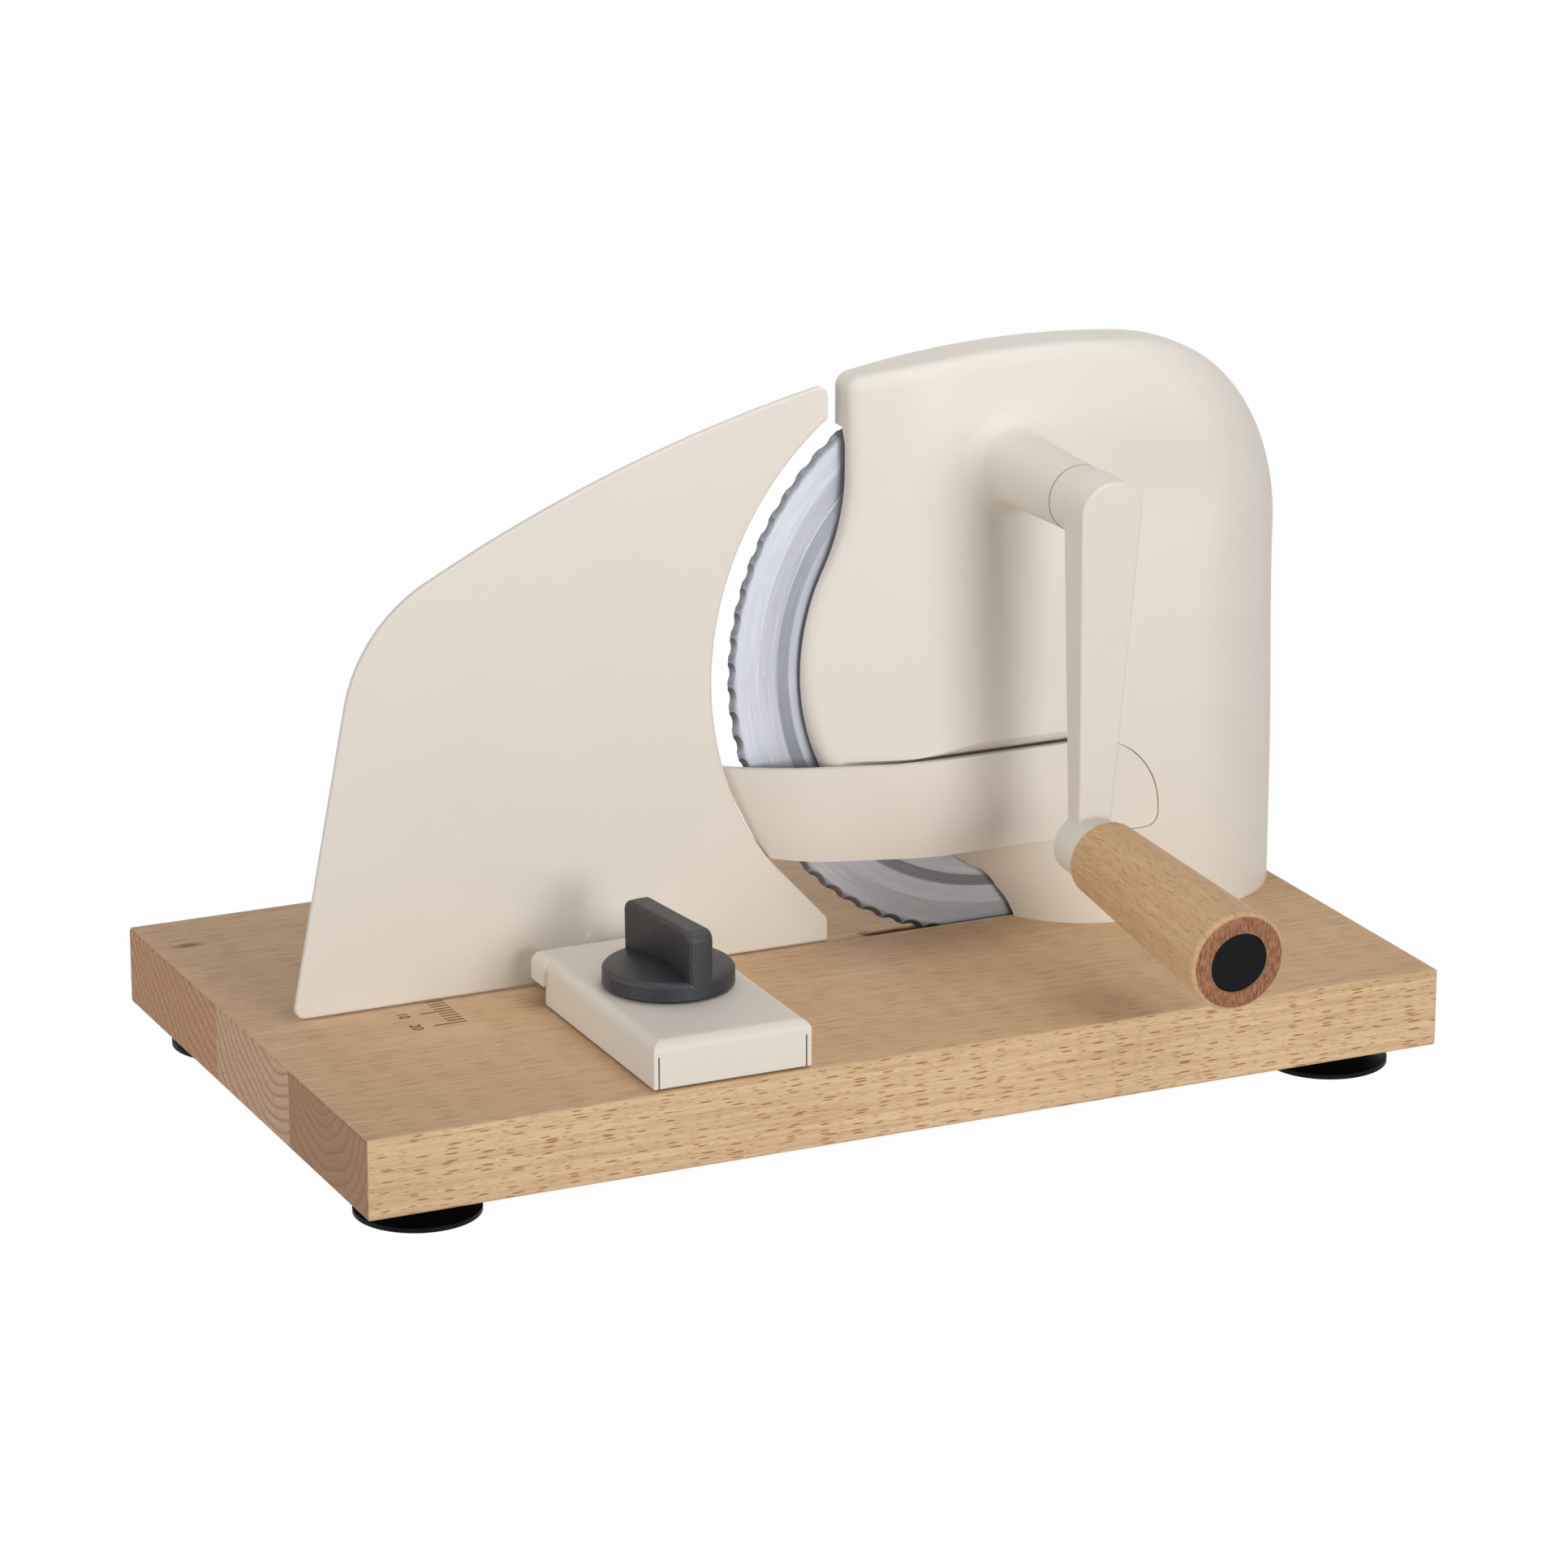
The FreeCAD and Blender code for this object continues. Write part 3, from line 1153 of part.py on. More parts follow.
def knob():
    """Flat disc with a bar across it, whose sides are scooped out towards the disc."""
    owner = body("knob_body")
    rim = S.knob_radius
    disc = outline(sketch_on(owner, "knob_disc", "XZ_Plane"), [
        (ZERO, ZERO), (rim - 0.6, ZERO), (rim, Dim(0.6)), (rim, S.knob_rim - 1.2),
        (rim - 1.6, S.knob_rim, Dim(1.8), "L"), (ZERO, S.knob_rim + 1.6)])
    turned(owner, disc)
    low = wing_section(owner, "wing_low", S.knob_rim / 2, (S.wing_width - S.wing_waist) / 2)
    high = wing_section(owner, "wing_high", S.knob_height, S.wing_sag)
    wing = owner.newObject("PartDesign::AdditiveLoft", "knob_wing")
    wing.Profile = low
    wing.Sections = [high]
    wing.Ruled = True
    top = S.knob_height.value

    def at_end(e):
        box = e.BoundBox
        return box.ZMin > top - 0.01 and box.XMax - box.XMin < rim.value / 2 and abs(
            box.Center.y) > rim.value / 2

    body_round(owner, at_end, S.wing_end_round)
    body_round(owner, lambda e: e.BoundBox.ZMin > top - 0.01 and e.BoundBox.YMax
               - e.BoundBox.YMin > rim.value, S.wing_round)
    hole = circle(sketch_on(owner, "knob_bore", "XY_Plane"), ZERO, ZERO, S.insert_radius)
    pocket(owner, hole, S.insert_depth, reverse=True)
    place(owner, "knob", stud_x, S.stud_y, knob_z, angle=S.knob_angle)
    insert = lathe_piece("knob_insert_body", [
        (S.stud_radius + S.running_gap, ZERO), (S.insert_radius, ZERO),
        (S.insert_radius, S.insert_depth), (S.stud_radius + S.running_gap, S.insert_depth)])
    place(insert, "knob_insert", stud_x, S.stud_y, knob_z)


# ---------------------------------------------------------------------------
# Crank and grip
# ---------------------------------------------------------------------------
def crank_shaft():
    start = S.arm_front + S.shaft_inset
    owner = lathe_piece("crank_shaft_body", [
        (ZERO, ZERO), (S.shaft_radius - 0.5, ZERO), (S.shaft_radius, Dim(0.5)),
        (S.shaft_radius, gear_back - start), (ZERO, gear_back - start)])
    place(owner, "crank_shaft", crank_x, start, crank_z, V(1, 0, 0), -90.0)


def crank_arm():
    """Tapered arm that leans back towards its lower end, with a hub and a pin boss."""
    top, tail, reach = S.arm_radius, S.arm_tail_width / 2, S.crank_reach
    face = outline(free_sketch("arm_outline", upright=True, height=S.arm_depth + 1.0), [
        (-tail, -reach), (tail, -reach), (top, ZERO), (ZERO, top, top, "L"),
        (-top, ZERO, top, "L")])
    form = extruded("arm_form", face, V(0, -1, 0), S.arm_depth + 2.0)
    side = free_sketch("arm_side")
    seat(side, -top * 2, ZERO, ZERO, V(1, 1, 1), 120.0)
    outline(side, [(ZERO, -reach - 1.0), (S.arm_tail_depth, -reach - 1.0),
                   (S.arm_depth, top + 1.0), (ZERO, top + 1.0)])
    depth = extruded("arm_depth_form", side, V(1, 0, 0), top * 4)
    plate = rounded("arm_plate", common("arm_blank", [form, depth]),
                    lambda e: e.BoundBox.ZMax > -reach.value + 1.0, S.arm_round)
    boss = rod("pin_boss", S.pin_boss_radius, S.pin_boss_height + S.arm_tail_depth, ZERO,
               -S.pin_boss_height, -reach, "y")
    boss = rounded("pin_boss_round", boss, lambda e: e.Curve.TypeId == "Part::GeomCircle",
                   S.arm_round)
    arm = seat(fuse("arm_leaning", [plate, boss]), axis=V(1, 0, 0), angle=S.crank_lean)
    hub_start = S.arm_depth / 2
    hub_end = S.boss_front - S.hub_gap - S.arm_front
    hub = rod("arm_hub", S.arm_radius, hub_end - hub_start, ZERO, hub_start, ZERO, "y")
    whole = fuse("arm_whole", [arm, hub])
    bore = rod("arm_bore", S.shaft_radius, hub_end, ZERO, S.shaft_inset, ZERO, "y")
    hole = rod("pin_hole", S.bolt_thread, S.bolt_grip + S.pin_boss_height, ZERO,
               -S.pin_boss_height * 2, -reach, "y")
    hole_leaning = seat(fuse("pin_hole_leaning", [hole, rod(
        "pin_hole_end", S.bolt_thread, Dim(0.2), ZERO, S.bolt_grip - S.pin_boss_height,
        -reach, "y")]), axis=V(1, 0, 0), angle=S.crank_lean)
    place(cut("arm_cut", whole, [bore, hole_leaning]), "crank_arm", crank_x, S.arm_front,
          crank_z)


def grip_parts():
    """Everything on the grip's leaning axis, in frames that point out along it."""
    turn = S.crank_lean + 90.0

    def out_along(label, owner, distance):
        y = root_y - distance * cosine(S.crank_lean)
        z = root_z - distance * sine(S.crank_lean)
        place(owner, label, crank_x, y, z, V(1, 0, 0), turn)

    length, end, radius = S.grip_length, S.grip_round, S.grip_end
    bore = S.bolt_radius + S.running_gap
    socket = length - S.socket_depth
    taper = (radius - S.grip_root) / length
    grip = lathe_piece("grip_body", [
        (bore, ZERO), (S.grip_root - 0.8, ZERO), (S.grip_root, Dim(0.8)),
        (radius - taper * end, length - end),
        (radius - end, length, end, "L"), (S.plug_radius, length),
        (S.plug_radius, socket), (bore, socket)])
    out_along("grip", grip, ZERO)
    plug = lathe_piece("plug_body", [
        (ZERO, ZERO), (S.plug_radius, ZERO), (S.plug_radius, S.plug_depth - 0.4),
        (S.plug_radius - 0.4, S.plug_depth), (ZERO, S.plug_depth)])
    out_along("grip_plug", plug, length - S.plug_recess - S.plug_depth)
    washer = lathe_piece("grip_washer_body", [
        (bore, ZERO), (S.grip_root - 2.0, ZERO), (S.grip_root - 2.0, S.grip_washer),
        (bore, S.grip_washer)])
    out_along("grip_washer", washer, -(S.grip_gap + S.grip_washer) / 2)
    shoulder = S.bolt_grip
    under = shoulder + S.grip_gap + socket + S.washer_play
    head = under + S.bolt_head_height
    bolt = lathe_piece("bolt_body", [
        (ZERO, ZERO), (S.bolt_thread, ZERO), (S.bolt_thread, shoulder),
        (S.bolt_radius, shoulder), (S.bolt_radius, under), (S.bolt_head, under),
        (S.bolt_head, head - 0.5), (S.bolt_head - 0.5, head), (ZERO, head)])
    out_along("grip_bolt", bolt, -S.grip_gap - shoulder)


clip_y = gear_back - S.clip_thickness * 2.5
rail_height = S.slider_height - S.slider_sheet - S.rail_gap

for build in (base_board, suction_feet, foot_screws, housing_shell, housing_screws,
              guard_strap, guard_screws, bearings, axle_stud, gears, blade, blade_lock,
              fence_plate, slider_cover, fence_rivets, guide_rail, rail_screws, clamp_stud,
              knob, crank_shaft, crank_arm, grip_parts):
    build()

doc.recompute()
for item in doc.Objects:
    if "Invalid" in item.State or "Error" in item.State:
        raise RuntimeError("%s is in error: %s" % (item.Name, item.State))
os.makedirs("parts", exist_ok=True)
for piece in PIECES:
    shape = piece.Shape
    if shape.isNull() or not shape.isValid():
        raise RuntimeError("%s has no valid shape" % piece.Label)
    print("%-26s %d solids %8.2f cm3" % (piece.Label, len(shape.Solids), shape.Volume / 1000))
    shape.exportStep("parts/%s.step" % piece.Label)
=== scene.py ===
"""Bread slicer with crank: finishes, engraved scale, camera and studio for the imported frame."""
import math

import bmesh
import bpy
from mathutils import Matrix, Vector


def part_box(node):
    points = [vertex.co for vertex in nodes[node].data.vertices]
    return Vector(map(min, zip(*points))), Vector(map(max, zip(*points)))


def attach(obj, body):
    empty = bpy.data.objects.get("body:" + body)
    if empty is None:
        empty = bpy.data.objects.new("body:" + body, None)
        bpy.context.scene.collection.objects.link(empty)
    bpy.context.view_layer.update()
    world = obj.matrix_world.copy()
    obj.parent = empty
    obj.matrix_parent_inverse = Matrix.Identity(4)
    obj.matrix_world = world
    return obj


MM = 0.001

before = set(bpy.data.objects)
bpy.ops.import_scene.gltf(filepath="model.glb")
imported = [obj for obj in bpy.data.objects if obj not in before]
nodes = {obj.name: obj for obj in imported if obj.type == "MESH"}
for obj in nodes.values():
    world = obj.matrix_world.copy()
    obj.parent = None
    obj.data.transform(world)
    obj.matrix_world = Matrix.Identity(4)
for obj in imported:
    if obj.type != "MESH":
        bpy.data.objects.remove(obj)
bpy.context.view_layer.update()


def tint(red, green, blue):
    """A colour written as 0-255 screen values (sRGB), in the linear ones that a shader takes."""
    def linear(value):
        share = value / 255
        return share / 12.92 if share <= 0.04045 else ((share + 0.055) / 1.055) ** 2.4
    return (linear(red), linear(green), linear(blue), 1.0)


def added(name, data):
    """A new object in the scene."""
    made = bpy.data.objects.new(name, data)
    bpy.context.scene.collection.objects.link(made)
    return made


class Wiring:
    """Adds nodes to a tree. Their values are numbers, colours or other nodes' outputs."""

    def __init__(self, tree):
        self.tree = tree

    def give(self, node, values):
        """Sets a node's inputs, which are named or numbered."""
        for key, value in values.items():
            if isinstance(value, bpy.types.NodeSocket):
                self.tree.links.new(value, node.inputs[key])
            else:
                node.inputs[key].default_value = value

    def node(self, kind, values=None, **settings):
        made = self.tree.nodes.new("ShaderNode" + kind)
        for name, value in settings.items():
            setattr(made, name, value)
        self.give(made, values or {})
        return made

    def calc(self, operation, first, second=0.0):
        return self.node("Math", {0: first, 1: second}, operation=operation).outputs[0]

    def shown_rays(self):
        """1 for a ray that shows the white background: the camera's, in gloss or through glass."""
        path = self.node("LightPath").outputs
        shown = path["Is Camera Ray"]
        for kind in ("Is Glossy Ray", "Is Transmission Ray"):
            shown = self.calc("MAXIMUM", shown, path[kind])
        return shown


class Finish(Wiring):
    """One procedural material. Its patterns work on the piece's own coordinates in millimetres."""

    def __init__(self, name, **values):
        self.material = bpy.data.materials.new(name)
        self.material.use_nodes = True
        super().__init__(self.material.node_tree)
        self.paint(**values)
        self.source = self.node("TexCoord").outputs
        self.place = self.vector("MULTIPLY", self.source["Object"], (1 / MM,) * 3)

    def paint(self, **values):
        """Sets the shader's own inputs. An underscore stands for a space in an input's name."""
        shader = self.tree.nodes["Principled BSDF"]
        self.give(shader, {name.replace("_", " "): value for name, value in values.items()})

    def vector(self, operation, first, second):
        return self.node("VectorMath", {0: first, 1: second}, operation=operation).outputs[0]

    def length(self, vector):
        """The distance that a vector spans."""
        return self.node("VectorMath", {0: vector}, operation="LENGTH").outputs["Value"]

    def split(self, vector):
        return self.node("SeparateXYZ", {0: vector}).outputs

    def join(self, x=0.0, y=0.0, z=0.0):
        return self.node("CombineXYZ", {0: x, 1: y, 2: z}).outputs[0]

    def leaned(self, vector, degrees):
        """The vector turned about the x axis."""
        turn = (math.radians(degrees), 0.0, 0.0)
        return self.node("Mapping", {"Vector": vector, "Rotation": turn}).outputs[0]

    def step(self, value, start, end):
        """0 up to start and 1 from end on, with a smooth rise between them. start may be the
        larger of the two, which turns the rise round."""
        values = {"Value": value, "From Min": start, "From Max": end}
        return self.node("MapRange", values, interpolation_type="SMOOTHSTEP").outputs[0]

    def rise(self, value, start, more):
        """start where the value is 0, and more than that where it is 1."""
        return self.calc("ADD", start, self.calc("MULTIPLY", value, more))

    def facing(self, axis, start, end):
        """1 on faces that look along an axis, either way, and 0 on the others."""
        normal = self.split(self.source["Normal"])
        return self.step(self.calc("ABSOLUTE", normal[axis]), start, end)

    def noise(self, vector, size, detail=3.0, roughness=0.5):
        """Cloudy noise from 0 to 1. size is its clouds' size, one number or one for each axis."""
        if isinstance(size, tuple):
            vector = self.vector("DIVIDE", vector, size)
            size = 1.0
        values = {"Vector": vector, "Scale": 1 / size, "Detail": detail, "Roughness": roughness}
        return self.node("TexNoise", values).outputs[0]

    def spots(self, across, up, size, share, soft=0.5):
        """Scattered dashes, 1 inside and 0 outside. Each lies in a room of the given size, and
        they reach up to a share of it. soft is how much of a dash fades out."""
        place = self.vector("DIVIDE", self.join(across, up), (*size, 1.0))
        cells = self.node("TexVoronoi", {"Vector": place, "Scale": 1.0}, voronoi_dimensions="2D")
        chance = self.split(cells.outputs["Color"])[0]
        reach = self.calc("MULTIPLY", chance, share)
        inner = self.calc("MULTIPLY", reach, 1 - soft)
        return self.step(cells.outputs["Distance"], reach, inner)

    def mix(self, share, first, second):
        """The first colour where share is 0, and the second where it is 1."""
        values = {0: share, 6: first, 7: second}
        return self.node("Mix", values, data_type="RGBA").outputs[2]

    def layered(self, tone, *layers):
        """Lays colours over a tone. A layer is a mask, how strongly it shows, and its colour."""
        for mask, strength, colour in layers:
            tone = self.mix(self.calc("MULTIPLY", mask, strength), tone, colour)
        return tone

    def bump(self, height, depth, strength):
        """A relief as deep as depth millimetres where height goes from 0 to 1."""
        values = {"Height": height, "Distance": depth * MM, "Strength": strength}
        return self.node("Bump", values).outputs[0]


# ---------------------------------------------------------------- wood

# Axes, by their place in a vector.
X, Y = 0, 1

FIBRE_CONTRAST = (0.32, 0.68)
END_CONTRAST = (0.36, 0.66)


def late_wood(wood, place, y, z, pith_y, pith_z):
    """The dark part of each growth ring. The rings run round a pith and waver."""
    ring_width, ring_waver = 3.6, 9.0
    from_pith = wood.vector("SUBTRACT", wood.join(0.0, y, z), wood.join(0.0, pith_y, pith_z))
    wander = wood.noise(place, size=(170.0, 26.0, 26.0), detail=1.0)
    radius = wood.calc("ADD", wood.length(from_pith), wood.calc("MULTIPLY", wander, ring_waver))
    ring = wood.calc("FRACT", wood.calc("DIVIDE", radius, ring_width))
    return wood.calc("MULTIPLY", wood.step(ring, 0.5, 0.93), wood.step(ring, 1.0, 0.95))


def board_dashes(wood, place):
    """Pores and long pores of the wide faces, and flecks and small flecks of the front and back.
    The two kinds on a face are moved against each other, so that they don't coincide."""
    waver_reach = 1.2
    long_moved, small_moved = 31.0, 17.0
    waver = wood.calc("MULTIPLY", wood.noise(place, size=22.0, detail=1.0), waver_reach)
    along, across, up = wood.split(wood.vector("ADD", place, wood.join(0.0, waver, waver)))
    along_long = wood.calc("ADD", along, long_moved)
    along_small = wood.calc("ADD", along, small_moved)
    return (
        wood.spots(along, across, size=(12.0, 0.6), share=0.36, soft=0.3),
        wood.spots(along_long, across, size=(34.0, 1.7), share=0.13, soft=0.3),
        wood.spots(along, up, size=(9.0, 1.0), share=0.27, soft=0.3),
        wood.spots(along_small, up, size=(6.0, 0.6), share=0.34),
    )


def ragged_knot(wood, x, y, fine, centre):
    """A small knot in the board's top. The fine grain frays its edge."""
    size = (4.2, 2.0, 1.0)
    from_centre = wood.vector("SUBTRACT", wood.join(x, y), centre)
    reach = wood.length(wood.vector("DIVIDE", from_centre, size))
    return wood.step(wood.calc("ADD", reach, fine), 2.0, 0.7)


def slot_wall_shade(wood, y, z, front, back, top):
    """Where painted shade darkens the walls of the blade's slot, but not the board's own front,
    back and top.
    """
    behind_front = wood.step(y, front + 2, front + 4)
    before_back = wood.step(y, back - 2, back - 4)
    below_top = wood.step(z, top - 0.3, top - 1.2)
    return wood.calc("MULTIPLY", wood.calc("MULTIPLY", behind_front, before_back), below_top)


def board_beech():
    """Three staves glued edge to edge, each with its own rings, tone and place in the tree."""
    wood = Finish("beech", Specular_IOR_Level=0.16)
    low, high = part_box("base_board")
    left, front, back, top = low.x / MM, low.y / MM, high.y / MM, high.z / MM
    x, y, z = wood.split(wood.place)
    on_end = wood.facing(X, start=0.6, end=0.8)
    on_front = wood.facing(Y, start=0.6, end=0.8)

    first_joint, second_joint = front + 58, front + 115
    stave_shift = (213.0, 57.0, 91.0)
    past_first = wood.calc("GREATER_THAN", y, first_joint)
    past_second = wood.calc("GREATER_THAN", y, second_joint)
    stave = wood.calc("ADD", past_first, past_second)
    shift = wood.vector("MULTIPLY", wood.join(stave, stave, stave), stave_shift)
    place = wood.vector("ADD", wood.place, shift)

    fibre_noise = wood.noise(place, size=(46.0, 1.1, 1.1), detail=5.0, roughness=0.7)
    fibre = wood.step(fibre_noise, *FIBRE_CONTRAST)
    fine = wood.noise(place, size=(6.0, 0.32, 0.32), roughness=0.6)
    band = wood.noise(place, size=(140.0, 11.0, 11.0), detail=2.0)
    end_noise = wood.noise(wood.place, size=(5.0, 0.35, 1.6), roughness=0.7)
    end_speck = wood.step(end_noise, *END_CONTRAST)
    pores, long_pores, flecks, small_flecks = board_dashes(wood, place)

    # The first stave's pith is above the board. Each next one is further back and higher.
    pith_back, pith_height = 34, 9
    next_back, next_height = 34.0, 20.0
    pith_y = wood.rise(stave, front + pith_back, next_back)
    pith_z = wood.rise(stave, top + pith_height, next_height)
    late = late_wood(wood, place, y, z, pith_y, pith_z)

    # The knot lies near the left end, behind the fence.
    knot = ragged_knot(wood, x, y, fine, centre=(left + 10.0, front + 165.5, 0.0))
    top_tone = wood.layered(
        wood.mix(band, tint(207, 171, 133), tint(229, 195, 156)),
        (fibre, 0.5, tint(192, 153, 115)),
        (fine, 0.35, tint(238, 207, 170)),
        (pores, 0.45, tint(150, 108, 76)),
        (long_pores, 0.35, tint(140, 98, 68)),
        (knot, 0.75, tint(96, 62, 46)),
    )
    front_tone = wood.layered(
        wood.mix(fibre, tint(224, 193, 155), tint(193, 158, 119)),
        (fine, 0.4, tint(228, 198, 158)),
        (flecks, 0.8, tint(148, 98, 62)),
        (small_flecks, 0.45, tint(166, 118, 78)),
    )
    end_tone = wood.layered(
        tint(176, 140, 110),
        (past_first, 1.0, tint(220, 185, 156)),
        (past_second, 1.0, tint(206, 160, 124)),
        (late, 0.55, tint(146, 104, 74)),
        (end_speck, 0.6, tint(146, 104, 76)),
    )
    side_tone = wood.mix(on_front, top_tone, front_tone)

    # Painted shade darkens the walls of the blade's slot.
    not_on_end = wood.calc("SUBTRACT", 1.0, on_end)
    slot = wood.calc("MULTIPLY", slot_wall_shade(wood, y, z, front, back, top), not_on_end)

    fibre_height = 0.6
    hollows = wood.calc("MAXIMUM", pores, flecks)
    relief = wood.calc("SUBTRACT", wood.calc("MULTIPLY", fibre, fibre_height), hollows)
    wood.paint(
        Base_Color=wood.layered(
            wood.mix(on_end, side_tone, end_tone),
            # Painted shade on the slot's walls.
            (slot, 0.7, tint(104, 68, 44)),
        ),
        Roughness=wood.rise(fibre, 0.54, 0.16),
        Normal=wood.bump(relief, depth=0.06, strength=0.6),
    )
    return wood.material


def grip_beech():
    """A turned grip, with its figure along the leaning axis and dark grain on its ends."""
    wood = Finish("grip_beech", Roughness=0.55, Specular_IOR_Level=0.3)
    low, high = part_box("grip")
    centre = (low + high) / 2
    grip_lean = -4.6
    place = wood.leaned(wood.vector("SUBTRACT", wood.place, tuple(centre / MM)), grip_lean)
    x, y, z = wood.split(place)

    # The figure is measured round the turned surface, at a mean radius, and wavers.
    mean_radius, waver_reach = 12.0, 4.5
    around = wood.calc("MULTIPLY", wood.calc("ARCTAN2", z, x), mean_radius)
    waver = wood.calc("MULTIPLY", wood.noise(place, size=16.0, detail=1.0), waver_reach)
    figure = wood.calc("ADD", around, waver)
    fibre_noise = wood.noise(place, size=(0.9, 30.0, 0.9), detail=5.0, roughness=0.7)
    fibre = wood.step(fibre_noise, *FIBRE_CONTRAST)
    band = wood.noise(place, size=(8.0, 60.0, 6.0), detail=2.0)
    flecks = wood.spots(y, figure, size=(11.0, 0.75), share=0.26, soft=0.35)
    small_moved = 11.0
    along_small = wood.calc("ADD", y, small_moved)
    small_flecks = wood.spots(along_small, figure, size=(6.0, 0.5), share=0.34)
    end_noise = wood.noise(place, size=(0.3, 3.0, 2.2), roughness=0.75)
    end_speck = wood.step(end_noise, *END_CONTRAST)

    side_tone = wood.layered(
        wood.mix(band, tint(204, 165, 123), tint(224, 189, 148)),
        (fibre, 0.5, tint(188, 144, 102)),
        (flecks, 0.42, tint(142, 96, 60)),
        (small_flecks, 0.4, tint(156, 110, 72)),
    )
    end_tone = wood.mix(end_speck, tint(112, 68, 42), tint(178, 124, 90))
    on_end = wood.facing(Y, start=0.72, end=0.9)
    wood.paint(
        Base_Color=wood.mix(on_end, side_tone, end_tone),
        Normal=wood.bump(fibre, depth=0.05, strength=0.5),
    )
    return wood.material


# ---------------------------------------------------------------- metal and plastic

def cream_coat():
    """Powder coat with a faint cloud and a fine grain."""
    coat = Finish("cream_coat")
    cloud = coat.noise(coat.place, size=45.0, detail=2.0)
    grain = coat.noise(coat.place, size=0.9, roughness=0.6)
    coat.paint(
        Base_Color=coat.mix(cloud, tint(227, 220, 209), tint(223, 216, 204)),
        Roughness=coat.rise(grain, 0.42, 0.16),
        Normal=coat.bump(grain, depth=0.02, strength=0.5),
    )
    return coat.material


def blade_steel():
    """Bright steel turned and polished round the blade's axis."""
    steel = Finish("blade_steel", Metallic=0.72, Anisotropic=0.3)
    low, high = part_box("blade")
    centre = (low + high) / 2
    rim_radius = (high.x - low.x) / 2 / MM
    from_centre = steel.vector("SUBTRACT", steel.place, tuple(centre / MM))
    x, y, z = steel.split(from_centre)
    radius = steel.length(steel.join(x, 0.0, z))
    around = steel.calc("MULTIPLY", steel.calc("ARCTAN2", z, x), rim_radius)

    # Turning leaves fine lines round the axis, and the polish longer streaks and soft clouds.
    # wide_row is the row of the noise that the wide rings are read from.
    line = steel.noise(steel.join(radius, y), size=0.35, detail=4.0, roughness=0.7)
    streak_size = (0.8, 26.0, 1.0)
    streak_noise = steel.noise(steel.join(radius, around), streak_size, detail=4.0, roughness=0.7)
    streak = steel.step(streak_noise, 0.38, 0.72)
    wide_row = 9.0
    wide_ring = steel.noise(steel.join(radius, wide_row), size=5.5, detail=2.0)
    cloud = steel.noise(from_centre, size=24.0, detail=2.0)

    # The pressed step is rougher, and painted shade darkens its ring. Painted shade also darkens
    # the flutes towards the rim.
    dull_outer, dull_inner, rim_shade_reach = (13.5, 14.8), (18.0, 17.2), (2.6, 0.9)
    inward = steel.calc("SUBTRACT", rim_radius, radius)
    past_outer, past_inner = steel.step(inward, *dull_outer), steel.step(inward, *dull_inner)
    dull_and_shaded = steel.calc("MULTIPLY", past_outer, past_inner)
    rim_shade = steel.step(inward, *rim_shade_reach)
    steel.paint(
        Base_Color=steel.layered(
            steel.mix(wide_ring, tint(192, 193, 200), tint(162, 164, 174)),
            (streak, 0.5, tint(206, 208, 212)),
            (cloud, 0.35, tint(132, 140, 162)),
            # Painted shade: the step's ring and the flutes towards the rim.
            (dull_and_shaded, 0.45, tint(96, 99, 110)),
            (rim_shade, 0.7, tint(74, 76, 84)),
        ),
        Roughness=steel.rise(dull_and_shaded, steel.rise(line, 0.34, 0.2), 0.2),
        Normal=steel.bump(line, depth=0.01, strength=0.5),
        Tangent=steel.node("Tangent", direction_type="RADIAL", axis="Y").outputs[0],
    )
    return steel.material


def plated(name):
    """A bare or plated metal of the table METALS."""
    first, second, roughness = METALS[name]
    metal = Finish(name, Metallic=1.0)
    grain = metal.noise(metal.place, size=0.8, detail=4.0, roughness=0.7)
    metal.paint(
        Base_Color=metal.mix(metal.noise(metal.place, size=6.0), first, second),
        Roughness=metal.rise(grain, roughness, 0.15),
        Normal=metal.bump(grain, depth=0.01, strength=0.4),
    )
    return metal.material


def moulded(name):
    """A plastic or rubber of the table PLASTICS."""
    first, second, roughness, grain_size, grain_depth, shine = PLASTICS[name]
    plastic = Finish(name, Specular_IOR_Level=shine)
    grain = plastic.noise(plastic.place, size=grain_size, roughness=0.65)
    plastic.paint(
        Base_Color=plastic.mix(grain, first, second),
        Roughness=plastic.rise(grain, roughness - 0.08, 0.16),
        Normal=plastic.bump(grain, depth=grain_depth, strength=0.6),
    )
    return plastic.material


